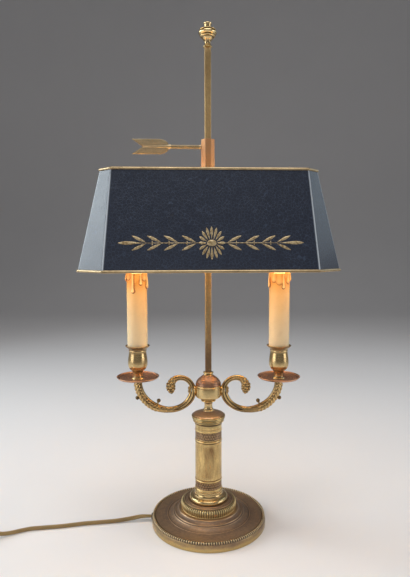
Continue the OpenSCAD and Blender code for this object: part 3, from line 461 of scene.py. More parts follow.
def eased(outline, r):
    """A closed outline whose corners over 25 degrees are cut by a three-point curve that starts r away."""
    back = np.roll(outline, 1, 0) - outline
    ahead = np.roll(outline, -1, 0) - outline
    turn = np.sum(unit(-back) * unit(ahead), axis=1)
    sharp = turn < np.cos(np.radians(25))
    reach = [np.minimum(r / np.linalg.norm(v, axis=1), 0.4)[:, None] * v for v in (back, ahead)]
    first, last = outline + reach[0], outline + reach[1]
    between = np.where(sharp[:, None], (first + 2 * outline + last) / 4, outline)
    keep = np.stack([sharp, np.full(len(outline), True), sharp], 1)
    return np.stack([first, between, last], 1)[keep]


def softened(corners, r, n=5):
    """A closed outline with round corners: each corner becomes a quadratic curve between the points r away
    on both sides, with one more point beyond each end so that the flats stay flat."""
    p = np.asarray(corners, float)
    back, ahead = unit(np.roll(p, 1, 0) - p), unit(np.roll(p, -1, 0) - p)
    t = np.linspace(0, 1, n)[None, :, None]
    ends = (p + r * back)[:, None], (p + r * ahead)[:, None]
    bend = (1 - t) ** 2 * ends[0] + 2 * t * (1 - t) * p[:, None] + t ** 2 * ends[1]
    outer = (p + 2 * r * back)[:, None], (p + 2 * r * ahead)[:, None]
    return np.concatenate([outer[0], bend, outer[1]], 1).reshape(-1, 2)


def oblong(a, b, r):
    """Rectangle of half sides a and b with corners rounded by r."""
    return softened([(-a, -b), (a, -b), (a, b), (-a, b)], r)


def hollows(outline):
    """How deep each point of a closed outline lies inside the outline's own blurred course: the gap between
    the two along the outward normal, from -1 on an edge to 1 in a groove."""
    spacing, blur, full = 0.15, 0.9, 0.25
    closed = np.vstack([outline, outline[:1]])
    along = travelled(closed)
    even = np.arange(0, along[-1], spacing)
    line = np.stack([np.interp(even, along, closed[:, k]) for k in (0, 1)], -1)
    gauss = np.exp(-0.5 * (np.fft.fftfreq(len(even)) * TAU * blur / spacing) ** 2)
    soft = np.fft.ifft(np.fft.fft(line, axis=0) * gauss[:, None], axis=0).real
    run = unit(np.roll(soft, -1, 0) - np.roll(soft, 1, 0))
    gap = soft - line
    area = np.sum(closed[:-1, 0] * closed[1:, 1] - closed[1:, 0] * closed[:-1, 1])
    depth = np.sign(area) * (gap[:, 0] * run[:, 1] - gap[:, 1] * run[:, 0])
    return np.clip(np.interp(along[:-1], even, depth) / full, -1, 1)


def turned(outline, sides=128, edge=0.25):
    """Ring solid of a closed outline of (radius, height) points, carried round the upright axis."""
    line = eased(np.vstack(outline), edge)
    points = round_axis(line[:, :1], angles(sides), line[:, 1:])
    depth = np.broadcast_to(hollows(line)[:, None], points.shape[:2])
    return Skin(points, depth, True, travelled(line)[:, None])


def stained_and_shaded(skin, bottom, top, depth):
    """A skin with that depth of patina and painted shade between two heights."""
    z = skin.points[..., 2]
    return skin._replace(hollow=np.where((z > bottom) & (z < top), depth, skin.hollow))


def level(line, z):
    """A flat outline at height z."""
    return np.column_stack([line, np.full(len(line), z)])


def plain_ring(rows):
    """Skin of closed rows of points, whose last row meets the first."""
    points = np.stack(rows)
    return Skin(points, np.zeros(points.shape[:2]), True)


def capped(points, hollow=None):
    """Skin of an open tube of rings, closed at each end by the ring's middle."""
    ends = [np.broadcast_to(points[k].mean(0), points[k].shape)[None] for k in (0, -1)]
    depth = np.zeros(points.shape[:2]) if hollow is None else hollow
    depth = np.concatenate([depth[:1], depth, depth[-1:]])
    return Skin(np.concatenate([ends[0], points, ends[1]]), depth, False)


def ball(centre, r, stain=0.0):
    """A ball: rings of radius r cos a at height r sin a. stain is its depth of patina."""
    a = np.radians(np.linspace(-84, 84, 9))[:, None]
    points = r * round_axis(np.cos(a), angles(16), np.sin(a))
    return capped(np.asarray(centre) + points, np.full(points.shape[:2], stain))


def tube(path, radii):
    """A round tube along a path: at each point a ring of that radius across the path."""
    path = np.asarray(path, float)
    run = unit(np.gradient(path, axis=0))
    side = unit(np.cross(run, np.array([0.0, 1.0, 0.0])))
    up = np.cross(side, run)
    a = angles(10)[:, None]
    rings = side[:, None] * np.cos(a) + up[:, None] * np.sin(a)
    return capped(path[:, None] + np.reshape(radii, (-1, 1, 1)) * rings)


def moved(skin, place=(0, 0, 0), turn=None):
    """A skin turned by a matrix and then moved."""
    points = skin.points if turn is None else skin.points @ np.asarray(turn, float).T
    return skin._replace(points=points + np.asarray(place, float))


MIRROR_X = np.diag([-1, 1, 1])
# Turns +Z into -X, so that what is turned upright lies along the cord
LIE_X = np.array([[0, 0, -1], [0, 1, 0], [1, 0, 0]])


def cells(skin):
    """The four corners of each cell of a skin's grid; columns always close, rows only in a ring."""
    rows, columns = skin.points.shape[:2]
    i = np.arange(rows if skin.ring else rows - 1)[:, None]
    j = np.arange(columns)[None]
    here, there, right = i * columns, (i + 1) % rows * columns, (j + 1) % columns
    return np.stack(np.broadcast_arrays(here + j, here + right, there + right, there + j), -1).reshape(-1, 4)


def shell(name, skins, finish, stands_for=(), body="stand", crease=38, marks=None):
    """One object of closed skins, riding on a body. Poles are merged and faces turned outwards. marks holds
    further point attributes by name."""
    starts = np.cumsum([0] + [skin.hollow.size for skin in skins])
    corners = np.vstack([start + cells(skin) for start, skin in zip(starts, skins)])
    points = np.vstack([skin.points.reshape(-1, 3) for skin in skins]) * MM
    mesh = bpy.data.meshes.new(name)
    mesh.vertices.add(len(points))
    mesh.vertices.foreach_set("co", points.ravel())
    mesh.loops.add(corners.size)
    mesh.loops.foreach_set("vertex_index", corners.ravel())
    mesh.polygons.add(len(corners))
    mesh.polygons.foreach_set("loop_start", np.arange(0, corners.size, 4))
    mesh.update(calc_edges=True)
    depth = np.concatenate([skin.hollow.ravel() for skin in skins])
    along = np.concatenate([np.broadcast_to(skin.along, skin.hollow.shape).ravel() for skin in skins])
    for key, values in {"hollow": depth, "along": along, **(marks or {})}.items():
        layer = mesh.attributes.new(key, "FLOAT", "POINT")
        layer.data.foreach_set("value", np.ravel(values).astype(np.float32))
    work = bmesh.new()
    work.from_mesh(mesh)
    bmesh.ops.remove_doubles(work, verts=work.verts, dist=1e-6)
    bmesh.ops.recalc_face_normals(work, faces=work.faces)
    work.to_mesh(mesh)
    work.free()
    mesh.polygons.foreach_set("use_smooth", np.full(len(mesh.polygons), True))
    mesh.set_sharp_from_angle(angle=np.radians(crease))
    mesh.materials.append(finish)
    piece = placed(name, mesh)
    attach(piece, body)
    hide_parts(*stands_for)
    return piece


def turning(name, finish, z, outline, stands_for=(), sides=128, edge=0.25, stains_and_shades=(), body="stand",
            turn=None):
    """One turned piece, its outline's foot at height z. stains_and_shades are bands of (bottom, top, depth),
    for patina and painted shade.
    """
    skin = turned(outline, sides, edge)
    for stain in stains_and_shades:
        skin = stained_and_shaded(skin, *stain)
    shell(name, [moved(skin, (0, 0, z), turn)], finish, stands_for, body)


def dress(finish, *names):
    """Give CAD nodes a finish."""
    for name in names:
        nodes[name].data.materials.clear()
        nodes[name].data.materials.append(finish)


photo_camera()

# Brasses: bright and film colours, the film's cover, roughness, lathe lines and mattness
DRAWN = brass("drawn_brass", (214, 182, 128), (130, 101, 70), 0.45, 0.24, 0.8, 0.4)
BROWN = brass("brown_brass", (184, 151, 117), (110, 88, 71), 0.6, 0.35, 1.2, 0.6)
DOME = brass("dome_brass", (214, 179, 142), (156, 125, 98), 0.6, 0.27, 0.9, 0.65)
BRIGHT = brass("bright_brass", (218, 190, 136), (126, 98, 70), 0.24, 0.21, 0.9, 0.2)
KNOB = brass("knob_brass", (230, 202, 148), (120, 92, 62), 0.15, 0.15, 0.3, 0.15)
LINING = brass("ring_brass", (230, 200, 140), (140, 108, 66), 0.15, 0.3, 0.3, 0.2)
BEADING = brass("bead_brass", (194, 171, 134), (96, 78, 60), 0.34, 0.32, 0.2, 0.4)
# band_brass's mauve film, laid over the band's upper part, is partly a painted reflection
BAND = brass("band_brass", (196, 170, 116), (130, 106, 88), 0.34, 0.26, 1.0, 0.4)
OLIVE = brass("olive_brass", (196, 172, 120), (108, 88, 62), 0.36, 0.26, 1.2, 0.3)
CAST = brass("cast_brass", (206, 174, 120), (76, 54, 34), 0.42, 0.21, 0.4, 0.18)
GADROON = brass("gadroon_brass", (208, 184, 134), (106, 87, 60), 0.3, 0.38, 0.6, 0.35)
# Partly painted warm bulb light: the dome, pans and sleeve are tinted redder and more orange than their
# metal
COPPER_AND_PAINTED_BULB_LIGHT = brass("copper_brass_and_painted_bulb_light", (158, 121, 97), (112, 84, 67), 0.55, 0.34, 0.8, 0.65)
TARNISH_AND_PAINTED_BULB_LIGHT = brass("tarnished_copper_and_painted_bulb_light", (200, 154, 122), (142, 101, 80), 0.5, 0.32, 0.9, 0.5)
RUDDY_AND_PAINTED_BULB_LIGHT = brass("ruddy_brass_and_painted_bulb_light", (186, 150, 110), (166, 118, 78), 0.55, 0.44, 0.4, 0.85)
EDGING = brass("edging_brass", (198, 174, 134), (120, 98, 70), 0.35, 0.3, 0.3, 0.3)
FEATHER = brass("feather_brass", (206, 184, 146), (146, 130, 102), 0.5, 0.3, 0.3, 0.5)
FLEX = gold_flex()
DARK = plastic("dark_plastic", (34, 30, 28), (44, 40, 37), 0.36)
STEEL = steel("plated_steel", (196, 196, 190))
PLATED = steel("plated_brass", (214, 190, 138))


# Cord: the flat twin flex from the base, through its switch, round the coil and on to the plug

FLEX_W = 5.2
FLEX_T = 2.8
FLEX_SIDES = 24
SWITCH_END = -272
SWITCH_START = -326
COIL = (-362, -6)
COIL_TURNS = 8
COIL_R = 22
COIL_PITCH = 3.5
LAYER_1 = 3.5
LAYER_2 = 9.4
LEAD_ROUTE = [
    (-75.7, 0, 6), (-81.7, 0, 6), (-90, 0, 5.6), (-100, -2, 4.6), (-112, -4, 3.4),
    (-124, -6, 2.8), (-137, -8, 2.7), (-150, -10, 2.7), (-163, -12, 2.7), (-176, -15, 2.7),
    (-189, -18, 2.7), (-202, -20, 2.7), (-215, -22, 2.7), (-228, -24, 2.7), (-240, -29, 2.8),
    (-250, -35, 3.4), (-258, -40, 5), (-266, -42, 7), (SWITCH_END, -42, 7)]
LINK_ROUTE = [
    (SWITCH_START, -42, 7), (-332, -42, 7), (-338, -42, 5.8), (-345, -42, 4.2), (-350.8, -42, LAYER_1),
    (-356.8, -42, LAYER_1)]
TAIL_ROUTE = [
    (-367.2, -42, LAYER_2), (-375.2, -42, LAYER_2), (-385.2, -42, 8.1), (-393.2, -42, 6.8),
    (-397.2, -42, 6.8)]


def coil_line(steps=40):
    """Centreline of the coil after u turns: its radius falls to COIL_R half way and grows again, and the
    cord climbs a layer in the half turn between."""
    u = np.linspace(0, COIL_TURNS, COIL_TURNS * steps + 1)
    v = u - COIL_TURNS / 2
    r = COIL_R + COIL_PITCH * (np.sqrt(v * v + 0.02) - 0.02)
    climb = (LAYER_2 - LAYER_1) * smooth(v, -0.25, 0.25)
    return round_axis(r, np.radians(-90 - 360 * u), LAYER_1 + climb) + (*COIL, 0)


def flex_cord():
    """The flex as one tube. Its section is two touching cores: across the width x it is as thick as a
    circle round the nearer core. It lies flat at the base and turns on edge within the first five points of
    its route."""
    lead = curve(LEAD_ROUTE, 5)
    path = np.vstack([lead, curve(LINK_ROUTE, 5), coil_line(), curve(TAIL_ROUTE, 5)])
    station = np.concatenate([np.arange(len(lead)) / 5, np.full(len(path) - len(lead), 5.0)])
    roll = np.radians(90 * smooth(station, 0, 5))[:, None, None]
    run = unit(np.gradient(path, axis=0))
    side = unit(np.column_stack([run[:, 1], -run[:, 0], 0 * run[:, 0]]))[:, None]
    up = np.cross(side[:, 0], run)[:, None]
    core = FLEX_T / 2
    a = (np.arange(FLEX_SIDES) + 0.5) * TAU / FLEX_SIDES
    x = FLEX_W / 2 * np.cos(a)
    t = np.sign(np.sin(a)) * np.sqrt(np.maximum(core ** 2 - (np.abs(x) - FLEX_W / 2 + core) ** 2, 0))
    wide = side * np.cos(roll) + up * np.sin(roll)
    thick = up * np.cos(roll) - side * np.sin(roll)
    rings = path[:, None] + wide * x[:, None] + thick * t[:, None]
    cord = shell("flex_cord", [capped(rings)], FLEX,
                 ["cord_lead", "cord_link", "cord_coil", "cord_tail"], crease=60)
    return cord, path


# Base

BASE_BEADS = 150
BEAD_STEPS = 12
LOBES = 74


def base_shell():
    """Spun base in two rings: the polished band round its edge, and the brown top with a broad tread, two
    fine beads and a cove that rises to the plinth's seat."""
    r, h = high("base_foot")[[0, 2]]
    groove = low("bead_ring")[2]
    band = groove + 0.8
    wall = 2.4
    beads = r - 1.6
    # Painted shade and reflection: the band's upper part takes more of the mauve film, and its top, where
    # the beads sit, is painted nearly dark
    turning("base_band", BAND, 0, [
        [(r - wall, 0), (r - 0.5, 0)], arc((r - 0.5, 0.5), 0.5, 0.5, -80, 0, 3),
        [(r, band - 5)], arc((r - 0.9, band - 3.4), 0.9, 2.2, 0, 84),
        [(r - 1.0, band - 1.2), (beads + 0.1, band - 1.4), (beads + 0.1, groove), (r - wall, groove)],
    ], ["base_foot"], sides=192, stains_and_shades=[(band - 5.5, h, 0.3), (band - 1.5, h, 0.85)])
    turning("base_top", BROWN, 0, [
        [(beads, groove), (beads - 3, groove), (beads - 3, band + 0.4), (beads - 4.2, band + 0.4),
         (60, band + 0.75), (54.9, band + 1.1)],
        arc((54, band + 1.1), 0.6, 0.4, 10, 170, 5),
        curve([(53.2, band + 1.1), (50.4, band + 1.9), (48, band + 3.1), (46.8, band + 4.1)]),
        arc((46.1, band + 4.3), 0.55, 0.45, 10, 150, 4),
        [(45.3, band + 4.9), (44.7, band + 5.6)], arc((44.1, band + 5.8), 0.5, 0.45, 10, 150, 4),
        curve([(43.3, band + 6.2), (41.4, band + 6.9), (40, band + 8), (39.2, h - 0.3), (38.4, h)]),
        [(TIE_BORE, h), (TIE_BORE, h - wall), (36.1, h - wall), (51, groove - wall), (beads, groove - wall)],
    ], sides=192)


def bead_row():
    """Row of beads on the base's shoulder: one ring whose section, an upright ellipse, swells to each bead
    as a ball does at the distance v from its middle, and is a low cord in the gaps."""
    hi = high("bead_ring")
    out_r, up_r = 1.9, size("bead_ring")[2] - 0.3
    a = angles(BASE_BEADS * BEAD_STEPS)
    v = 2 * (a * BASE_BEADS / TAU % 1) - 1
    swell = np.sqrt(np.clip(1 - (v / 0.66) ** 2, 0, 1))
    b = np.radians(np.linspace(-40, 220, 13))[:, None]
    grow = 0.62 + 0.38 * swell
    radius = hi[0] + 1.2 - out_r + out_r * grow * np.cos(b)
    points = round_axis(radius, a, hi[2] - up_r + up_r * grow * np.sin(b))
    # Dark gaps between the beads: patina, and painted shade where the beads meet; the worn tops are lighter
    hollow = np.broadcast_to(0.95 - 1.6 * swell, points.shape[:2])
    shell("bead_row", [Skin(points, hollow, True)], BEADING, ["bead_ring"], crease=70)


def gadroon():
    """Plinth ring with upright lobes from foot to top: its wall is drawn in where the cosine of the lobes
    is small. Its flat top is brown."""
    r, z0, h = high("gadroon_ring")[0], low("gadroon_ring")[2], size("gadroon_ring")[2]
    plain = turned([
        [(r - 14, 0), (r - 1.2, 0), (r - 1.2, 0.5)], arc((r - 2.2, h * 0.44), 2.2, h * 0.36, -70, 0, 6),
        arc((r - 2.6, h * 0.6), 2.6, h * 0.36, 0, 84, 9), [(r - 3.4, h - 0.4), (r - 4.0, h), (r - 14, h)],
    ], sides=LOBES * 8, edge=0.2)
    x, y, z = np.moveaxis(plain.points, -1, 0)
    radius = np.hypot(x, y)
    lobes = np.abs(np.cos(np.arctan2(y, x) * LOBES / 2))
    cut = smooth(z, 0.3, 0.9) * smooth(radius, r - 5.2, r - 4.0)
    inward = 1 - 1.4 * cut * (1 - lobes ** 0.8) / radius
    points = np.stack([x * inward, y * inward, z + z0], -1)
    brown = 0.5 * smooth(z, h * 0.6, h * 0.9)
    hollow = np.clip(plain.hollow * (1 - cut) + cut * (0.75 - 1.5 * lobes) + brown, -1, 1)
    hollow = np.where(radius < r - 3.2, 0.5, hollow)
    skin = plain._replace(points=points, hollow=hollow)
    shell("gadroon", [skin], GADROON, ["gadroon_ring"])


def column_foot():
    """Moulded foot: a thin brown disc with fine rings; on it the polished roll, a hollow, a slender band
    and a bead under the tube."""
    z0 = low("column_foot")[2]
    top = low("column_tube")[2] - z0
    r, wide = high("column_tube")[0], high("column_foot")[0]
    roll, t = 25, 3.5
    turning("column_foot_disc", BROWN, z0, [
        [(TIE_BORE, 0), (wide - 0.2, 0), (wide, 0.3), (wide - 0.1, 0.7), (wide - 0.6, 0.9),
         (wide - 1.3, 0.9), (wide - 1.5, 0.55), (wide - 1.9, 0.55), (wide - 2.1, 0.9), (28, 0.9),
         (27.6, 1.25), (26.9, 1.3), (26.5, 0.9), (25.4, 0.8), (24, 0.5), (TIE_BORE, 0.5)]], edge=0.2)
    turning("column_foot_moulding", BRIGHT, z0, [
        [(TIE_BORE, 0.6), (roll - 1.6, 0.6)], arc((roll - t, t), t, t, -50, 80, 18),
        curve([(21.6, t * 2 + 0.1), (20.2, 7.6), (r + 2, 8.3), (r + 1.6, 8.9)]),
        [(r + 0.6, 9), (r + 0.6, 9.3)], curve([(r + 1.3, 9.5), (r + 0.95, 10.4), (r + 0.9, 11.5)]),
        [(r + 0.3, 11.7), (r + 0.3, 12.1)], curve([(r + 0.8, 12.3), (r + 0.6, 13.6), (r + 0.7, 15.2)]),
        [(r + 0.1, 15.5), (r + 0.1, 16.2), (r - 0.3, 16.3), (r - 0.3, top), (r - 1.6, top),
         (r - 1.6, top + 4), (TIE_BORE, top + 4)],
    ], ["column_foot"], edge=0.15, stains_and_shades=[(0, 2 * t, 0.06), (7.2, 9.2, 0.45)])
    turning("column_foot_bead", LINING, z0, [
        [(r - 0.8, 16.1)], arc((r - 0.05, 16.8), 0.65, 0.65, -80, 80), [(r - 0.8, top - 0.02)]], edge=0.1)


# Column

# Chased bands and beads on the tube, as heights above the tube's foot
LOW_BAND = (0.0, 9.0)
HIGH_BAND = (65.6, 75.4)
BEADS = (10.7, 63.2)
SCALE_ROW = 3.2
BAND_SCALES = 32
STROKES = 15


def column_body():
    """Column tube on a grid of angle and height. The end bands are chased with overlapping scales; the
    body between carries worn engraved strokes that waver up the tube; grooves run beside the rings."""
    r, z0, z1 = high("column_tube")[0], low("column_tube")[2], high("column_tube")[2]
    h = z1 - z0
    stops = [0.0, *LOW_BAND[1:], BEADS[0] + 2, BEADS[1] - 2, *HIGH_BAND, h]
    steps = [20, 12, 60, 14, 24, 24]
    spans = [np.linspace(a, b, n + 1) for a, b, n in zip(stops, stops[1:], steps)]
    z = np.unique(np.concatenate(spans))[:, None]
    a = angles(400)
    row = z / SCALE_ROW
    across = np.abs(np.sin(BAND_SCALES / 2 * a + np.pi / 2 * np.floor(row)))
    scale = across * np.sin(np.pi * (row % 1)) ** 0.5
    band = sum(smooth(z, lo, lo + 0.6) * (1 - smooth(z, hi - 0.6, hi)) for lo, hi in (LOW_BAND, HIGH_BAND))
    wave = np.sin(STROKES * a + 2.2 * np.sin(z / 7.5) + 1.3 * np.sin(3 * a + z / 11))
    stroke = np.exp(-(wave / 0.22) ** 2) * smooth(np.sin(z / 4.1 + 2.5 * np.sin(4 * a) + 5 * a), -0.2, 0.7)
    # patch: darker brown patches at three places round the tube, one of them facing the front
    patch = smooth(np.cos(3 * a - TAU / 4 + 0.25 * np.sin(z / 9)), -0.1, 0.9)
    body = smooth(z, BEADS[0] + 3, BEADS[0] + 8) * (1 - smooth(z, BEADS[1] - 8, BEADS[1] - 3))
    grooves = sum(dip(z, bead + side * 1.4, 0.45) for bead in BEADS for side in (-1, 1))
    grooves = grooves + dip(z, HIGH_BAND[1], 0.4) + 0.5 * dip(z, HIGH_BAND[1] + 4.2, 0.4)
    outer = r - 0.5 * band * (1 - scale) - 0.05 * body * stroke - 0.3 * grooves
    inner = np.full((2, len(a)), r - 1.5)
    points = round_axis(np.vstack([outer, inner]), a, z0 + np.vstack([z, [[h], [0]]]))
    marks = band * (0.8 - 1.5 * scale) + body * (0.35 * stroke + 0.42 * patch) + 1.2 * grooves
    hollow = np.vstack([np.clip(marks, -1, 1), 0 * inner])
    stain = np.vstack([band + 0 * a, 0 * inner])
    shell("column_body", [Skin(points, hollow, True)], chased_brass(), ["column_tube"],
          crease=60, marks={"stain": stain})


def column_rings():
    """Three bright half-round rings: two at the ends of the body, and one above the upper band."""
    r, z0 = high("column_tube")[0], low("column_tube")[2]
    ring = turned([[(r - 0.5, -0.85)], arc((r - 0.15, 0), 0.65, 0.8, -80, 80), [(r - 0.5, 0.85)]], edge=0.1)
    rings = [moved(ring, (0, 0, z0 + z)) for z in (*BEADS, HIGH_BAND[1] + 1.1)]
    shell("column_ring_pair", rings, LINING, ["column_rings"])


def column_capital():
    """Capital: a plain neck, then two stepped ribs that widen upwards."""
    r, z0, h = high("column_tube")[0], high("column_tube")[2], 8.5
    ribs = [arc((r + out - 0.5, z + 1.0), 0.8, 0.9, -75, 75, 5) for out, z in ((2.6, 4.4), (3.0, 6.4))]
    turning("column_capital_ribs", OLIVE, z0, [
        [(TIE_BORE, -4), (r - 1.6, -4), (r - 1.6, 0), (r + 0.1, 0), (r + 0.4, 0.5), (r + 0.4, 2.4),
         (r + 0.7, 3.2), (r + 1.2, 3.9), (r + 1.8, 4.4)],
        *ribs, [(r + 2.5, h - 0.2), (r + 2.2, h), (TIE_BORE, h)],
    ], ["column_capital"], edge=0.2)


def column_cap():
    """Cap in two rings: a rim of two ribs, and the brown dome drawn up to the neck."""
    r, z0, h = high("column_cap")[0], low("column_cap")[2], 10
    turning("column_cap_rim", OLIVE, z0, [
        [(TIE_BORE, 0), (r - 1.6, 0)], arc((r - 1.2, 1.2), 0.9, 1.1, -75, 75, 5),
        arc((r - 0.9, 3.2), 0.9, 1.0, -75, 80, 6), [(r - 1.4, 4.3), (TIE_BORE, 4.3)]], edge=0.15)
    turning("column_cap_dome", DOME, z0, [
        [(TIE_BORE, 4.2), (r - 1.5, 4.2), (r - 1.3, 4.6)],
        curve([(r - 1.7, 5.2), (r - 4.5, 6.5), (r - 9, 7.7), (9.4, 8.7), (7.6, 9.4), (7.1, h)], 5),
        [(TIE_BORE, h)]], ["column_cap"])


def neck():
    """Waisted neck under a thin disc."""
    z0, h, disc = low("neck_spindle")[2], 15, high("neck_spindle")[0]
    turning("neck_turning", KNOB, z0, [
        [(TIE_BORE, 0)],
        curve([(7.4, 0), (7.3, 0.7), (6.5, 1.6), (5.5, 3.6), (5.2, 6), (5.3, 8.5), (5.9, 10.6),
               (7.0, 11.6)]),
        [(7.4, 12)], arc((disc - 0.9, 13.1), 0.9, 0.8, -80, 80, 6),
        [(disc - 1.6, 14.1), (disc - 1.2, h), (TIE_BORE, h)]], ["neck_spindle"], sides=96)


# Hub

def hub():
    """Bowl with a rounded foot and grooves under its rim, dome with two rings whose copper tint is partly
    painted warm bulb light, collar.
    """
    r, z0, rim = high("hub_bowl")[0], low("hub_bowl")[2], size("hub_bowl")[2]
    groove = [(0.0, 0), (-0.35, 0.3), (-0.35, 0.7), (0.0, 1.0)]
    grooves = [*((r + out, rim - 3.2 + up) for out, up in groove),
               *((r + out, rim - 1.2 + up) for out, up in groove), (r - 0.1, rim)]
    turning("hub_bowl_turning", BRIGHT, z0, [
        [(TIE_BORE, 0), (8.6, 0)], curve([(9.4, 0.2), (12.0, 1.2), (13.8, 2.2)], 3),
        [(14.2, 2.4), (14.9, 2.4)], arc((r - 2.2, 5.4), 2.2, 2.9, -72, 0, 6),
        grooves, [(r - 1.6, rim), (r - 1.6, 6), (r - 4.6, 3), (TIE_BORE, 3)]], ["hub_bowl"], edge=0.15)
    z1 = z0 + rim
    h = low("rod_collar")[2] - z1
    turning("hub_dome_spinning", COPPER_AND_PAINTED_BULB_LIGHT, z1, [
        curve([(r, 0.05), (r - 0.15, 1.6), (r - 0.5, 2.9)]), [(r - 1.0, 3.1), (r - 0.8, 3.5)],
        curve([(r - 0.9, 3.8), (r - 1.6, 5.2), (r - 2.5, 6.4)]), [(r - 3.1, 6.6), (r - 3.0, 7.0)],
        curve([(r - 3.2, 7.3), (r - 6.6, 10.2), (r - 9, 11.7), (6.6, 12.6), (6.3, h)], 5),
        [(SPIGOT_BORE, h), (SPIGOT_BORE, h - 3.4), (7.9, h - 3.4), (r - 5.4, h / 2), (r - 3.1, 1),
         (r - 3.1, 0.05)]], ["hub_dome"])
    c, top = high("rod_collar")[0], 4
    turning("rod_collar_ring", BRIGHT, z1 + h, [
        [(SPIGOT_BORE, 0), (c - 0.3, 0), (c, 0.5), (c - 0.7, 1.2), (c - 0.9, 1.9)],
        arc((c - 0.3, 2.9), 0.9, 0.9, -70, 80, 5), [(c - 0.6, top), (SPIGOT_BORE, top)],
    ], ["rod_collar"], sides=72, edge=0.15)


# Arms

ARM_BOW = 51.5
ARM_NECK = 3.5
ARM_MID_W = 7.8
ARM_W = 10.4
SCROLL_X = 36.8
SCROLL_FAR = 49
SCROLL_RISE = 16
SCROLL_SIDE = 4
SCROLL_W = 6.4
LEAF_L = 9.6
LEAF_W = 12.2
KNOB_R = 2.6
KNOB_STAIN = 0.4
OUTER_KNOB = 0.32
INNER_KNOB = 0.72
BUD_X = -24.6
REACH = -middle("left_drip_pan")[0]
PAN_Z = low("left_drip_pan")[2]
LUG_Z = middle("arm_nipples")[2]
HUB_R = high("hub_bowl")[0]
LUG_X = HUB_R + 3.6
ARM_TOP = PAN_Z - ARM_NECK
ARM_LOW = low("left_arm")[2] + ARM_MID_W / 2


def arm_line(u):
    """Left arm's centreline at station u, as x and z: straight under the pan (-1 to 0), then quarter
    ellipses down to the bow (to 1), up to the joint (to 2), over the scroll's top (to 3) and down its far
    side (to 4), and a leaf (to 5)."""
    a = np.radians(90 * (u - np.floor(np.minimum(u, 3.999))))
    c, s = np.cos(a), np.sin(a)
    parts = [u < 0, u < 1, u < 2, u < 3, u < 4]
    x = np.select(parts, [-REACH + 0 * u, -ARM_BOW - (REACH - ARM_BOW) * c, -ARM_BOW + (ARM_BOW - LUG_X) * s,
                          -SCROLL_X + (SCROLL_X - LUG_X) * c, -SCROLL_X - (SCROLL_FAR - SCROLL_X) * s],
                  -SCROLL_FAR + 1.2 * (u - 4))
    z = np.select(parts, [ARM_TOP - ARM_NECK * u, ARM_TOP - (ARM_TOP - ARM_LOW) * s,
                          LUG_Z - (LUG_Z - ARM_LOW) * c, LUG_Z + SCROLL_RISE * s,
                          LUG_Z + SCROLL_SIDE + (SCROLL_RISE - SCROLL_SIDE) * c],
                  LUG_Z + SCROLL_SIDE - LEAF_L * (u - 4))
    return x, z


def arm_width(u):
    """Width of the arm in its plane, straight between stations."""
    return np.interp(u, [-1, 0.7, 1, 1.4, 1.75, 2, 2.3, 2.7, 3.2, 3.6, 4, 4.4, 4.8, 5],
                     [ARM_W, ARM_W, ARM_MID_W, ARM_MID_W + 0.6, ARM_MID_W + 1.8, ARM_MID_W + 1.2,
                      SCROLL_W + 0.6, SCROLL_W, SCROLL_W + 1, LEAF_W - 3, LEAF_W, LEAF_W - 1.6, LEAF_W / 2,
                      1.2])


def beside_arm(u, d):
    """Point at station u, d outside the arm's centreline in its plane."""
    (x0, x, x1), (z0, z, z1) = arm_line(np.array([u - 0.02, u, u + 0.02]))
    t = unit(np.array([x1 - x0, z1 - z0]))
    return np.array([x + d * t[1], 0, z - d * t[0]])


def arm_skin():
    """The cast arm: an oval carried along the centreline, with relief added along its radius. s is -1 on
    the inside of the bend and 1 on the outside. Leaf lobes are |sin| ridges bent back from a vein,
    mouldings are two grooves, and the bud has staggered scales."""
    u = np.linspace(-1, 5, 6 * 64 + 1)
    x, z = arm_line(u)
    run = unit(np.column_stack([np.gradient(x), np.gradient(z)]))
    along = travelled(np.column_stack([x, z]))[:, None]
    w = arm_width(u)[:, None]
    turn = angles(64)
    s, face = np.sin(turn)[None], np.abs(np.cos(turn))[None] ** 0.5
    u = u[:, None]
    leaf_start = smooth(u, -0.75, -0.6)
    leaf = leaf_start * (1 - smooth(u, 0.72, 0.84)) * smooth(s, -0.66, -0.54)
    lobes = np.abs(np.sin(np.pi * (along / 4.5 - 1.15 * np.abs(s + 0.08)))) ** 0.7
    vein = dip(s, -0.08, 0.11)
    border = dip(s, -0.6, 0.08) * leaf_start * (1 - smooth(u, 0.85, 1.0))
    spread = smooth(u, 1.02, 1.5)
    mould = smooth(u, 1.05, 1.25) * (1 - smooth(u, 3.2, 3.5))
    grooves = np.maximum(dip(s, 0.42 * spread + 0.02, 0.15), dip(s, -0.4 * spread - 0.02, 0.15)) * face
    bud = smooth(u, 3.25, 3.6)
    row = along / SCALE_ROW
    scales = (np.abs(np.cos(3 * turn + np.pi / 2 * np.floor(row))) * np.sin(np.pi * (row % 1))) ** 0.6
    relief = (leaf * (1.3 * lobes * (1 - 0.6 * vein) - 0.55 - 0.5 * vein) - 0.4 * border
              - 0.85 * mould * grooves + bud * (1.2 * scales - 0.55) * smooth(5.0 - u, 0, 0.4))
    hollow = np.clip(leaf * (1.05 - 2.1 * lobes + 0.8 * vein) + border + mould * (1.7 * grooves - 0.45)
                     + bud * (1.0 - 2.2 * scales), -1, 1)
    out = np.column_stack([run[:, 1], 0 * run[:, 0], -run[:, 0]])[:, None]
    half_w, half_d = w / 2 + relief, np.minimum(w, ARM_W) * 0.43 + relief
    points = (np.column_stack([x, 0 * x, z])[:, None] + out * (half_w * s)[..., None]
              + np.array([0, 1, 0]) * (half_d * np.cos(turn))[..., None])
    return capped(points, hollow)


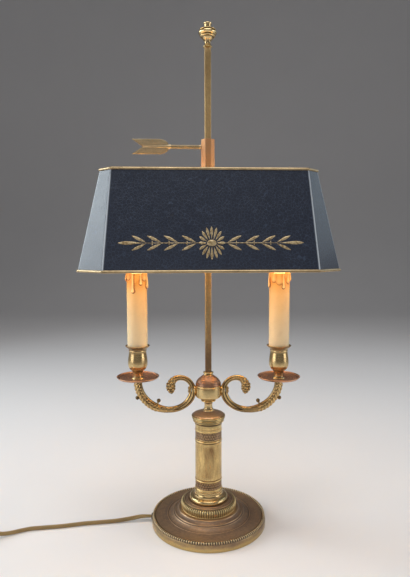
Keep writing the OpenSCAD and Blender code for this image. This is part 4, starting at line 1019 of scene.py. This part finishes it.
def arm_skins():
    """The arm with its two ball knobs, its curled buds at the joint and the boss that meets the hub."""
    out, reach = ARM_W / 2 + 1.8, ARM_W / 2 + 4.2
    outer = ball(beside_arm(OUTER_KNOB, out), KNOB_R, KNOB_STAIN)
    inner = ball(beside_arm(INNER_KNOB, -reach), KNOB_R, KNOB_STAIN)
    stub = tube([beside_arm(OUTER_KNOB, d) for d in (3.4, 4.6, 6.4)], (1.9, 1.5, 1.2))
    stalk = tube([beside_arm(INNER_KNOB, -d) for d in np.linspace(2, reach, 7)],
                 (2.4, 1.9, 1.5, 1.2, 1.1, 1.2, 1.5))
    buds = [ball((BUD_X, s * 1.2, LUG_Z + dz), 2.1) for s in (-1, 1) for dz in (2.0, -2.0)]
    boss = turned([[(AXIS, HUB_R - 0.6), (4.6, HUB_R - 0.6), (5.3, HUB_R + 0.4), (5.2, HUB_R + 1.6),
                    (4.4, HUB_R + 2.4), (4.2, LUG_X + 1), (AXIS, LUG_X + 1)]], sides=40, edge=0.4)
    return [arm_skin(), outer, stub, inner, stalk, *buds, moved(boss, (0, 0, LUG_Z), LIE_X)]


def arms():
    """Both arms, the right one mirrored from the left."""
    for side, turn in (("left", None), ("right", MIRROR_X)):
        skins = [moved(skin, turn=turn) for skin in arm_skins()]
        shell(f"{side}_arm_casting", skins, CAST, [f"{side}_arm"], crease=70)


# Candles

def drip_pan():
    """Shallow dish with a turned-up rim and fine rings in its floor."""
    r, h = size("left_drip_pan")[[0, 2]] * (0.5, 1)
    rings = np.vstack([[(x, 1.55 + 0.004 * (x - 8) ** 2), (x - 0.5, 1.25 + 0.004 * (x - 8) ** 2)]
                       for x in (22.5, 19, 15.5, 12)])
    return turned([
        [(SCREW_BORE, 0), (6.5, 0)],
        curve([(7.3, 0), (r * 0.6, 0.3), (r - 3, 1.1), (r - 0.9, h - 1.4), (r, h - 0.4)], 5),
        [(r - 0.2, h), (r - 0.8, h)], curve([(r - 1.3, h - 0.5), (r - 2.4, h - 1.4), (r - 4, 1.9)]),
        rings, [(9, 1.2), (SCREW_BORE, 1.2)]], edge=0.2)


def candle_cup():
    """Polished cup: a flared foot, a slim stem, a full belly drawn in under a flaring, browner rim."""
    h = low("left_candle_sleeve")[2] - low("left_candle_cup")[2]
    rim = size("left_candle_cup")[0] / 2
    belly, stem = 12.6, 6.2
    skin = turned([
        [(SCREW_BORE, 0)],
        curve([(8.2, 0.05), (7.9, 0.6), (6.7, 1.6), (stem, 3.4), (stem, 7), (7.2, 9.6), (9.6, 11.7)]),
        [(10.1, 12), (10.1, 12.5), (10.5, 12.8)],
        curve([(10.9, 13.3), (12.1, 15.9), (belly, 19.1), (12.5, 23.5), (11.8, 29), (11.2, 33.5),
               (11.2, 35.7)]),
        [(11.5, 36.1), (11.5, 36.8), (11.3, 37.2)],
        curve([(11.6, 37.9), (12.6, 39.5), (14.4, 40.9), (rim - 0.2, h + 0.8)]),
        [(rim, h + 1.2), (rim - 0.5, h + 1.7), (13.3, h), (SCREW_BORE, h)]], sides=96, edge=0.2)
    return stained_and_shaded(skin, 38.5, h + 3, 0.45)


# Drips of each candle: angle from the front, half width, length from the top, and bulge
LEFT_DRIPS = [
    (-84, 4.0, 11, 2.0), (-48, 4.5, 9, 0.7), (-14, 2.5, 25, 1.8), (29, 2.3, 15, 1.6), (54, 4.0, 10, 0.8),
    (80, 3.8, 20, 1.9), (128, 3.2, 23, 1.5), (170, 4.0, 14, 1.3), (-135, 3.0, 19, 1.5)]
RIGHT_DRIPS = [
    (-80, 3.6, 19, 1.9), (-40, 4.2, 12, 0.8), (-8, 4.6, 15, 0.7), (15, 2.2, 20, 1.5), (50, 4.2, 14, 0.9),
    (84, 3.6, 11, 2.0), (130, 3.0, 21, 1.5), (178, 3.8, 15, 1.3), (-130, 3.0, 24, 1.5)]


def candle_skin(drips):
    """Candle sleeve on a grid of angle and height. A drip is half an ellipse across, as far as its round
    end; the thickest drip counts at each point, over a thin skirt of wax with a wavy lower edge. Gives the
    skin and how thick the wax is on it."""
    r, h = size("left_candle_sleeve")[[0, 2]] * (0.5, 1)
    depth = np.concatenate([np.linspace(0.35, 32, 84), np.linspace(36, h, 12)])[:, None]
    a = angles(192)
    skirt = 9 + 2.2 * np.sin(3 * a + 0.7) + 1.6 * np.sin(7 * a)
    drops = np.zeros((len(depth), len(a)))
    for angle, half, length, bulge in drips:
        off = (np.degrees(a) + 90 - angle + 180) % 360 - 180
        slim = half * (0.72 + 0.28 * smooth(depth, length - 3.2 * half, length - half))
        q = (np.radians(off) * r / slim) ** 2 + np.clip((depth - length + half) / half, 0, None) ** 2
        swell = bulge * (0.55 + 0.45 * smooth(depth, 0, length * 0.8))
        drops = np.maximum(drops, swell * np.sqrt(np.clip(1 - q, 0, 1)))
    wax = np.maximum(drops, 0.3 * np.sqrt(np.clip((skirt - depth) / 2.2, 0, 1)))
    lip = wax[:1] - 0.3
    inner = np.full((3, len(a)), r - 1.2)
    radius = np.vstack([np.vstack([lip, wax]) + r, inner])
    points = round_axis(radius, a, h - np.vstack([[[0.0]], depth, [[h], [h / 2], [0.0]]]))
    # Painted shadow along the drips' edges, full on one side and 0.35 on the other, carried in the hollow
    # values
    across = np.gradient(drops, axis=1)
    edge = np.maximum(-across, 0.35 * across) + np.abs(np.gradient(drops, axis=0))
    hollow = np.vstack([0 * lip, np.clip(4.2 * edge * (1 - wax / 2.4), 0, 1), 0 * inner])
    return Skin(points, hollow, True), np.vstack([lip, wax, 0 * inner])


def candles():
    """Pan, cup and candle on each arm."""
    top, seat = high("left_candle_sleeve")[2], low("left_candle_sleeve")[2]
    ivory = candle_ivory(top * MM, seat * MM)
    pan, cup = drip_pan(), candle_cup()
    for side, x, drips in (("left", -REACH, LEFT_DRIPS), ("right", REACH, RIGHT_DRIPS)):
        shell(f"{side}_pan_spinning", [moved(pan, (x, 0, PAN_Z))], TARNISH_AND_PAINTED_BULB_LIGHT,
              [f"{side}_drip_pan"])
        shell(f"{side}_cup_turning", [moved(cup, (x, 0, low("left_candle_cup")[2]))], BRIGHT,
              [f"{side}_candle_cup"])
        candle, wax = candle_skin(drips)
        shell(f"{side}_candle_drips", [moved(candle, (x, 0, seat))], ivory,
              [f"{side}_candle_sleeve"], crease=60, marks={"drip": wax})


# Rod and what it carries stand turned by the shade's yaw

ROD_W = 8
SLEEVE_W = 16.6
SLEEVE_BORE = 8.2
key_axis = np.array(joints["key_turn"]["axis"])
YAW = np.arctan2(-key_axis[1], -key_axis[0])
ROD_TURN = np.array([[np.cos(YAW), -np.sin(YAW), 0], [np.sin(YAW), np.cos(YAW), 0], [0, 0, 1]])


def prism(outline, levels):
    """Closed skin of a flat outline carried up through levels of (height, inset share, depth of darkening).
    """
    rows = [level(outline * (1 - inset), z) for z, inset, _ in levels]
    stain = [np.full(len(outline), depth) for _, _, depth in levels]
    return capped(np.stack(rows), np.stack(stain))


def square_rod():
    """Square rod with eased edges, browner towards its foot, a round spigot and the finial's stud."""
    foot, top, tip = low("rod")[2], low("finial")[2], high("rod")[2]
    start = high("rod_collar")[2] + 0.1
    rows = np.linspace(start + 1, top - 0.6, 28)
    # Painted shade: the rod is painted darker and browner towards its foot, away from the bulbs' light
    levels = [(start, 0.1, 0.6), (start + 0.5, 0.0, 0.6),
              *[(z, 0.0, 0.6 - 0.6 * smooth(z, start, start + 90)) for z in rows], (top, 0.08, 0.0)]
    bar = prism(oblong(ROD_W / 2, ROD_W / 2, 1.3), levels)
    seat = start + 0.4
    spigot = turned([[(AXIS, foot), (3.6, foot), (3.9, foot + 0.5), (3.9, seat), (AXIS, seat)]], sides=40)
    stud = turned([[(AXIS, top - 0.5), (2, top - 0.5), (2, tip), (AXIS, tip)]], sides=32)
    skins = [moved(skin, turn=ROD_TURN) for skin in (bar, spigot, stud)]
    shell("square_rod", skins, DRAWN, ["rod"], "rod")


def finial():
    """Urn knob: a flared foot, a waist, a ringed belly, a thin shoulder disc and a cup-shaped top."""
    r, h = size("finial")[[0, 2]] * (0.5, 1)
    turning("finial_turning", KNOB, low("finial")[2], [
        [(STUD_BORE, 0), (r * 0.51, 0), (r * 0.51, h * 0.012)],
        curve([(r * 0.47, h * 0.04), (r * 0.4, h * 0.085), (r * 0.345, h * 0.14), (r * 0.34, h * 0.21),
               (r * 0.42, h * 0.27), (r * 0.55, h * 0.32), (r * 0.64, h * 0.37), (r * 0.67, h * 0.395)]),
        arc((r * 0.67, h * 0.438), r * 0.18, h * 0.033, -65, 70, 7),
        [(r * 0.76, h * 0.478)], arc((r * 0.66, h * 0.572), r * 0.34, h * 0.092, -60, 55, 12),
        [(r * 0.8, h * 0.658)], arc((r * 0.76, h * 0.69), r * 0.17, h * 0.021, -75, 80, 6),
        curve([(r * 0.6, h * 0.722), (r * 0.45, h * 0.742), (r * 0.365, h * 0.775), (r * 0.345, h * 0.82),
               (r * 0.38, h * 0.88), (r * 0.46, h * 0.95)]),
        [(r * 0.47, h * 0.965)], curve([(r * 0.43, h * 0.985), (r * 0.25, h * 0.996), (AXIS, h)], 3),
        [(AXIS, h * 0.3), (STUD_BORE, h * 0.3)],
    ], ["finial"], sides=72, edge=0.12, body="rod", turn=ROD_TURN)


def octagon_corners(flat):
    """Corners of an eight-sided outline with that distance from its middle to its flats."""
    a = np.radians(22.5 + 45 * np.arange(8))
    return flat / np.cos(np.radians(22.5)) * np.column_stack([np.cos(a), np.sin(a)])


def shade_sleeve():
    """Eight-sided sleeve with eased edges round a square bore. Its rings have as many points inside as
    outside, because the bore's points lie where the octagon's rays meet the square."""
    z0, z1 = low("shade_sleeve")[2], high("shade_sleeve")[2]
    outer = softened(octagon_corners(SLEEVE_W / 2), 0.35, 4)
    bore = outer * (SLEEVE_BORE / 2 / np.max(np.abs(outer), axis=1))[:, None]
    levels = [(outer * 0.93, z0), (outer * 0.985, z0 + 0.3), (outer, z0 + 0.8), (outer, z0 + 1.6),
              (outer, z1 - 1.6), (outer, z1 - 0.9), (outer * 0.985, z1 - 0.35), (outer * 0.93, z1),
              (bore * 1.06, z1), (bore, z1 - 0.4), (bore, z0 + 0.4), (bore * 1.06, z0)]
    sleeve = moved(plain_ring([level(line, z) for line, z in levels]), turn=ROD_TURN)
    shell("shade_sleeve_tube", [sleeve], RUDDY_AND_PAINTED_BULB_LIGHT, ["shade_sleeve"], "shade")


# Arrow key

KEY_SHOULDER = 48.8
FEATHER_L = 46.5
FEATHER_W = 18.7
FEATHER_NOTCH = 14
FEATHER_ROUND = 13
FEATHER_T = 1.8


def vane(up):
    """Half of the feather, a thin plate from the midrib out: at each distance x along the key its section
    runs from the inner to the outer edge, bevelled at both, with wavering lines pressed lengthwise in."""
    far, half = KEY_SHOULDER + FEATHER_L, FEATHER_W / 2
    t = np.linspace(0, 1, 90)[:, None]
    x = KEY_SHOULDER + 0.3 + (FEATHER_L - 0.3) * t
    rise = np.sqrt(np.clip(1 - np.clip(1 - (x - KEY_SHOULDER) / FEATHER_ROUND, 0, 1) ** 2, 0, 1))
    outer = 1.0 + (half - 1.0) * rise
    inner = np.clip((x - far + FEATHER_NOTCH) / FEATHER_NOTCH, 0, 1) * half
    across = np.concatenate([np.linspace(0, 1, 11), np.linspace(1, 0, 11)])
    face = np.repeat([-1.0, 1.0], 11)
    z = inner + np.maximum(outer - inner, 0.02) * across
    edge = np.minimum(np.minimum(z - inner, outer - z) / 1.5, 1)
    barbs = 0.06 * smooth(np.sin(z * TAU / 2.3 + 0.5 * np.sin(x / 4)), 0.2, 0.9) * smooth(z, 1.2, 2.2)
    y = face * (FEATHER_T / 2 * (0.5 + 0.5 * edge) - barbs)
    points = np.stack(np.broadcast_arrays(-x, y, up * z), -1)
    return capped(points, np.clip(6 * barbs - 0.3 * (1 - edge), -1, 1))


def arrow_key():
    """The key: a round shaft with a small collar, a tapering midrib and two vanes with a notch between
    their ends."""
    tip = KEY_SHOULDER + FEATHER_L - FEATHER_NOTCH + 1
    shaft = turned([[(AXIS, 4.1), (2.1, 4.1), (2.5, 4.6), (2.5, 8.6), (2.9, 8.9), (2.9, 10.1), (2.5, 10.4),
                     (2.5, KEY_SHOULDER - 3), (2.8, KEY_SHOULDER - 2), (2.8, KEY_SHOULDER - 0.6),
                     (1.9, KEY_SHOULDER + 3), (1.0, KEY_SHOULDER + 22), (0.6, tip), (AXIS, tip)]], sides=40)
    place = (0, 0, middle("arrow_key")[2])
    skins = [moved(shaft, turn=LIE_X), vane(1), vane(-1)]
    skins = [moved(moved(skin, place), turn=ROD_TURN) for skin in skins]
    shell("arrow_key_feather", skins, FEATHER, ["arrow_key"], "key")


# Shade

SHADE_W, SHADE_TOP_W = 312, 258.8
SHADE_DEPTH, SHADE_TOP_DEPTH = 163.4, 108.4
CORNER, CORNER_TOP = 33.5, 14.5
SHADE_Z = low("shade_shell")[2]
SHADE_TOP = high("shade_shell")[2]
SHEET = 1
FOLD_R = 1.6
EDGING_R = 1.8
EDGING_FOLD_R = 1.2


def up_shade(bottom, top, z):
    """A measure of the shade at height z, straight between its lower and upper edge."""
    return bottom + (top - bottom) * (z - SHADE_Z) / (SHADE_TOP - SHADE_Z)


def shade_outline(z, inset, r):
    """Eight-cornered outline of the shade at height z, moved in by inset, its folds rounded to about r."""
    w = up_shade(SHADE_W, SHADE_TOP_W, z) / 2 - inset
    b = up_shade(SHADE_DEPTH, SHADE_TOP_DEPTH, z) / 2 - inset
    c = up_shade(CORNER, CORNER_TOP, z) - inset * (2 - np.sqrt(2))
    right = [(w - c, -b), (w, c - b), (w, b - c), (w - c, b)]
    return softened([*right, *[(-x, y) for x, y in right[::-1]]], r)


def round_shade(section, r):
    """Ring solid of a closed section of (inset, height) points carried round the shade's outline."""
    return moved(plain_ring([level(shade_outline(z, inset, r), z) for inset, z in section]), turn=ROD_TURN)


def shade_sheet():
    """Folded sheet of even thickness."""
    heights = np.array([SHADE_Z, SHADE_Z + 2, SHADE_Z + 30, SHADE_TOP - 30, SHADE_TOP - 2, SHADE_TOP])
    section = [(0, z) for z in heights] + [(SHEET, z) for z in heights[::-1]]
    sheet = round_shade(section, FOLD_R)
    inside = np.broadcast_to([[inset / SHEET] for inset, z in section], sheet.hollow.shape)
    fold = np.broadcast_to(np.tile([0, 0, 0.5, 1, 0.5, 0, 0], 8), sheet.hollow.shape)
    shell("shade_sheet", [sheet], shade_paint(), ["shade_shell"], "shade",
          marks={"inside": inside, "fold": fold})


def shade_edgings():
    """Half-round edgings folded over the sheet's upper and lower edge."""
    a = np.radians(np.linspace(-60, 240, 17))
    for name, z, up in (("top", SHADE_TOP, 1), ("bottom", SHADE_Z, -1)):
        section = np.column_stack([SHEET / 2 + EDGING_R * np.cos(a), z + up * EDGING_R * np.sin(a)])
        lip = z - up * EDGING_R * np.sin(np.radians(60))
        section = np.vstack([section, [(0.02, lip), (0.02, z), (SHEET - 0.02, z), (SHEET - 0.02, lip)]])
        shell(f"shade_{name}_edging", [round_shade(section, EDGING_FOLD_R)], EDGING,
              [f"shade_{name}_trim"], "shade", crease=50)


# Ornament: a rosette between two laurel branches, on the panel's own plane

ROSETTE = (15.4, 18.9)
DISC = (5.2, 3.7)
STEM_NODES = (17.2, 37.5, 56.4, 73.5)
BRANCH_TIP = 105.5
ORNAMENT_Z = 366.6
RAISED = 0.35


def on_panel(x, z, out, side):
    """Points on the shade's front (side -1) or back (side 1) panel, at x, height z and out from it."""
    y = up_shade(SHADE_DEPTH, SHADE_TOP_DEPTH, z) / 2 + out
    return np.stack(np.broadcast_arrays(-side * x, side * y, z), -1) @ ROD_TURN.T


def leaf(start, end, half, blunt, side):
    """A leaf lying on the panel: a lens whose half width is half sin(pi t^blunt) along its midrib, with a
    low ridge; its underside is sunk in the paint."""
    start, end = np.asarray(start, float), np.asarray(end, float)
    t = np.linspace(0.01, 0.99, 12)[:, None]
    width = half * np.sin(np.pi * t ** blunt) + 0.12
    a = angles(8)
    across = unit(end - start)[::-1] * (-1, 1)
    x, z = (start[k] + (end - start)[k] * t + across[k] * width * np.cos(a) for k in (0, 1))
    out = RAISED * np.sin(a) * (0.4 + 0.6 * width / (half + 0.12))
    return capped(on_panel(x, ORNAMENT_Z + z, out, side))


def rosette(side):
    """Sixteen petals on an ellipse round an oval disc."""
    a = np.radians(90 + 22.5 * np.arange(16))
    rays = np.column_stack([np.cos(a), np.sin(a)])
    petals = [leaf(ray * DISC * 1.1, ray * ROSETTE, 1.4, 1.5, side) for ray in rays]
    b = angles(32)
    share = np.array([1.0, 1.0, 0.85, 0.5])[:, None]
    rise = np.array([-0.3, 0.15, 0.5, 0.75])[:, None]
    disc = on_panel(DISC[0] * share * np.cos(b), ORNAMENT_Z + DISC[1] * share * np.sin(b), rise, side)
    return petals + [capped(disc)]


def branch(way, side):
    """One laurel branch: a thin stem, a pair of leaves at each node, a pair of berries between nodes and a
    leaf at the tip."""
    skins = [leaf((way * DISC[0], 0), (way * (BRANCH_TIP - 26), 0), 0.32, 1.0, side)]
    for x in STEM_NODES:
        for up in (-1, 1):
            skins.append(leaf((way * (x + 1.0), up * 0.9), (way * (x + 16.6), up * 8.2), 1.45, 1.15, side))
    for x in np.array(STEM_NODES[:3]) + 10.5:
        for up in (-1, 1):
            skins.append(leaf((way * x, up * 0.3), (way * (x + 0.4), up * 2.6), 0.4, 1.4, side))
    skins.append(leaf((way * (BRANCH_TIP - 29), 0), (way * BRANCH_TIP, 0.2), 1.75, 1.7, side))
    return skins


def ornament():
    """The gilt rosette and branches on both long panels."""
    finish = gilding()
    for name, side in (("front", -1), ("back", 1)):
        skins = rosette(side) + branch(-1, side) + branch(1, side)
        shell(f"{name}_laurel", skins, finish, body="shade", crease=70)


# Pieces on the cord

CORD_BORE = 1.35
SWITCH_HALF = (27, 10.5)
SWITCH_END_W = 4.2
WINDOW = np.array([9.8, 4.8])
PIN_R = 2
# Power of the cosine and sine that makes the plug's section a rounded square
PLUG_POWER = 0.5


def cord_bush():
    """Round bush with an eased flange, lying along X in the base's band."""
    length = size("cord_bush")[0]
    skin = turned([[(CORD_BORE, 0)], arc((3.4, 0.8), 0.8, 0.8, -90, 0, 4),
                   [(4.2, 1.4), (3.45, 1.6), (3.45, length), (CORD_BORE, length)]], sides=48)
    place = (low("cord_bush")[0], 0, middle("cord_bush")[2])
    shell("cord_bush_ring", [moved(skin, place, -LIE_X * (1, -1, 1))], DARK, ["cord_bush"])


def switch_outline(inset, n=56):
    """Outline of the cord switch: the width falls from the middle to the narrow ends by a smooth step."""
    half_l, half_w = np.array(SWITCH_HALF) - inset
    end_w = SWITCH_END_W - inset * 0.6
    x = half_l * np.cos(np.linspace(0, np.pi, n))
    w = end_w + (half_w - end_w) * (1 - smooth(np.abs(x), 10, 26)) ** 0.8
    return np.vstack([np.column_stack([x, w]), np.column_stack([-x, -w])])


def switch_halves():
    """Two eased halves of the cord switch; the cover is a ring round the rocker's window."""
    place = (low("switch_base") + high("switch_cover")) / 2 * (1, 1, 0)
    split, top = high("switch_base")[2], high("switch_cover")[2]
    base_rows = [(1.6, 0.0), (0.5, 0.3), (0.0, 1.3), (0.0, split - 0.5), (0.35, split - 0.12),
                 (0.9, split - 0.05)]
    cover_rows = [(0.9, split + 0.05), (0.35, split + 0.12), (0.0, split + 0.5), (0.0, top - 2.2),
                  (0.35, top - 1.0), (1.3, top - 0.25), (2.6, top)]
    base, cover = ([level(switch_outline(d), z) for d, z in rows] for rows in (base_rows, cover_rows))
    window = np.clip(switch_outline(2.6) * (1.4, 1.0), -WINDOW, WINDOW)
    cover += [level(window * 1.06, top), level(window, top - 0.4), level(window, split + 0.3)]
    return [shell(name, [moved(skin, place)], DARK, [node]) for name, skin, node in (
        ("switch_lower_half", capped(np.stack(base)), "switch_base"),
        ("switch_upper_half", plain_ring(cover), "switch_cover"))]


def plug():
    """Flat plug with two pins: a rounded-square section that widens from the ribbed relief to its face."""
    lo, hi = low("plug_body"), high("plug_body")
    y, z = middle("plug_body")[1:]
    x = np.concatenate([[0.0, 0.3, 0.9], np.linspace(1.5, 15.5, 43), np.linspace(16.5, 48.5, 33),
                        [49.4, 49.85, 50.0]])
    half_w = np.interp(x, [0, 16, 19, 22, 32, 37, 42, 46, 50], [3.9, 5.2, 6.9, 7.8, 8.2, 10.2, 12.3, 13, 13])
    half_t = np.interp(x, [0, 16, 18, 21, 24, 50], [2.4, 3.2, 4.6, 6.3, 6.8, 6.8])
    ribs = 0.45 * smooth(np.sin((x - 1.5) * TAU / 3.5), -0.2, 0.5) * (x > 1.5) * (x < 15.5)
    ends = 1 - 0.12 * (1 - smooth(x, -0.4, 0.9)) - 0.1 * smooth(x, 49, 50.3)
    a = angles(48)
    wide, tall = (np.sign(v) * np.abs(v) ** PLUG_POWER for v in (np.cos(a), np.sin(a)))
    across, over = (((half - ribs) * ends)[:, None] for half in (half_w, half_t))
    points = np.stack(np.broadcast_arrays((hi[0] - x)[:, None], y + across * wide, z + over * tall), -1)
    body = shell("plug_moulding", [capped(points)], DARK, ["plug_body"])
    length = lo[0] - low("plug_pins")[0]
    pin = turned([[(AXIS, -11), (1.7, -11), (1.7, 1), (PIN_R, 1.1), (PIN_R, length - 1.2)],
                  arc((0.9, length - 1.1), 1.1, 1.1, 0, 80, 5), [(AXIS, length)]], sides=32)
    gap = size("plug_pins")[1] / 2 - PIN_R
    pins = [moved(pin, (lo[0], y + s * gap, z), LIE_X) for s in (-1, 1)]
    return [body, shell("plug_pin_pair", pins, PLATED, ["plug_pins"])]


def coil_strap():
    """Strap round the coil's loops: a thin flat section carried round a rectangle with round corners."""
    width, *sides = size("coil_tie")
    t = 0.8
    half = np.array(sides) / 2
    rows = []
    for out, x in ((0, -0.5), (0, 0.5), (t * 0.4, 0.5), (t, 0.46), (t, -0.46), (t * 0.4, -0.5)):
        line = oblong(*(half - t + out), 1.6)
        rows.append(np.column_stack([np.full(len(line), x * width), line]))
    strap = moved(plain_ring(rows), middle("coil_tie"))
    return shell("coil_strap", [strap], DARK, ["coil_tie"])


# Light and floor

AIM = (0, 0, 0.3)
BULB_WATTS = 0.45
BULB_MIDDLE = 45


def softbox(name, azimuth, elevation, distance, sides, radiance, spread, colour=(1, 1, 1)):
    """A rectangular soft light at that azimuth from the front, in degrees to the right, aimed at the lamp's
    middle. Its power is radiance times pi times its area, in metres, and it fans out by spread."""
    data = bpy.data.lights.new(name, "AREA")
    data.shape = "RECTANGLE"
    data.size, data.size_y = sides
    data.energy = radiance * np.pi * sides[0] * sides[1]
    data.color = colour
    data.spread = np.radians(spread)
    light = placed(name, data)
    a, e = np.radians([azimuth, elevation])
    back = np.array([np.sin(a) * np.cos(e), -np.cos(a) * np.cos(e), np.sin(e)])
    light.location = np.array(AIM) + distance * back
    light.rotation_euler = (np.radians(90 - elevation), 0, np.radians(azimuth))
    light.visible_camera = False


def bulb_light(name, x, z):
    """Warm light inside a bulb."""
    data = bpy.data.lights.new(name, "POINT")
    data.energy = BULB_WATTS
    data.color = (1.0, 0.65, 0.3)
    data.shadow_soft_size = 0.012
    placed(name, data).location = (x * MM, 0, z * MM)


def studio():
    """Dim even world, soft boxes round the lamp and above it, and the two lit bulbs."""
    world = bpy.data.worlds.new("studio")
    bpy.context.scene.world = world
    world.use_nodes = True
    background = world.node_tree.nodes["Background"]
    background.inputs["Color"].default_value = (0.95, 0.97, 1.0, 1.0)
    background.inputs["Strength"].default_value = 0.13
    softbox("left_box", -67, 9.5, 1.7, (1.05, 0.92), 1.42, 120)
    softbox("right_box", 76, 9.5, 1.7, (0.9, 0.92), 1.25, 120)
    softbox("front_box", 0, 15, 2.2, (1.8, 0.4), 0.52, 140)
    softbox("front_high_box", 0, 36, 2.2, (1.8, 0.4), 0.1, 140)
    softbox("left_side_box", -103, 26, 1.7, (0.7, 1.2), 2.6, 120, (0.85, 0.95, 1.0))
    softbox("right_side_box", 114, 28, 1.7, (0.8, 1.0), 0.48, 120, (0.74, 0.9, 1.0))
    softbox("top_box", 0, 78, 2.0, (1.6, 1.6), 1.14, 110)
    bulb_z = low("left_bulb_glass")[2] + BULB_MIDDLE
    bulb_light("left_bulb_light", -REACH, bulb_z)
    bulb_light("right_bulb_light", REACH, bulb_z)


def floor():
    """Pale floor that sweeps up into a backdrop far behind the lamp: straight, a quarter circle, and
    straight up. Its lengths are metres."""
    half, front, turn, r, rise = 40.0, -40.0, 2.2, 1.1, 1.6
    a = np.radians(np.linspace(0, 90, 17))
    y = np.concatenate([[front, 0.0], turn + r * np.sin(a), [turn + r]])[:, None]
    z = np.concatenate([[0.0, 0.0], r - r * np.cos(a), [r + rise]])[:, None]
    points = np.stack(np.broadcast_arrays(np.array([-half, half]), y, z), -1)
    corners = np.arange(len(y) - 1)[:, None] * 2 + np.array([0, 1, 3, 2])
    mesh = bpy.data.meshes.new("floor_sweep")
    mesh.from_pydata(points.reshape(-1, 3).tolist(), [], corners.tolist())
    mesh.polygons.foreach_set("use_smooth", np.full(len(mesh.polygons), True))
    f = Finish("floor_paper")
    paper = f.mix(f.noise(3, detail=2), srgb(238, 235, 234), srgb(233, 230, 230))
    mesh.materials.append(f.set({"Base Color": paper, "Roughness": 0.7, "Specular IOR Level": 0.25}))
    placed("floor_sweep", mesh)


# The lamp, put together

cord, cord_path = flex_cord()
base_shell()
bead_row()
gadroon()
column_foot()
column_body()
column_rings()
column_capital()
column_cap()
neck()
hub()
arms()
candles()
square_rod()
finial()
shade_sleeve()
arrow_key()
shade_sheet()
shade_edgings()
ornament()
cord_bush()
on_cord = [*switch_halves(), *plug(), coil_strap(), nodes["switch_rocker"], nodes["switch_screws"]]

dress(STEEL, "base_washer", "base_nut", "tie_rod", "hub_nut", "arm_nipples", "arm_nuts", "candle_screws",
      "rod_nut", "switch_screws", "shade_bridge")
dress(PLATED, "socket_shells", "bulb_caps")
dress(cast_iron(), "base_ballast")
dress(green_felt(), "base_felt")
dress(plastic("holder_plastic", (228, 222, 204), (214, 204, 180), 0.5), "left_lampholder",
      "right_lampholder", "wire_joint")
dress(plastic("inner_wire", (92, 84, 66), (108, 98, 76), 0.45), "supply_wire", "arm_wires")
dress(DARK, "switch_rocker")
dress(lit_glass(), "left_bulb_glass", "right_bulb_glass")
for side in ("left", "right"):
    nodes[f"{side}_bulb_glass"].visible_shadow = False

studio()
floor()
bpy.context.scene.view_settings.view_transform = "Standard"
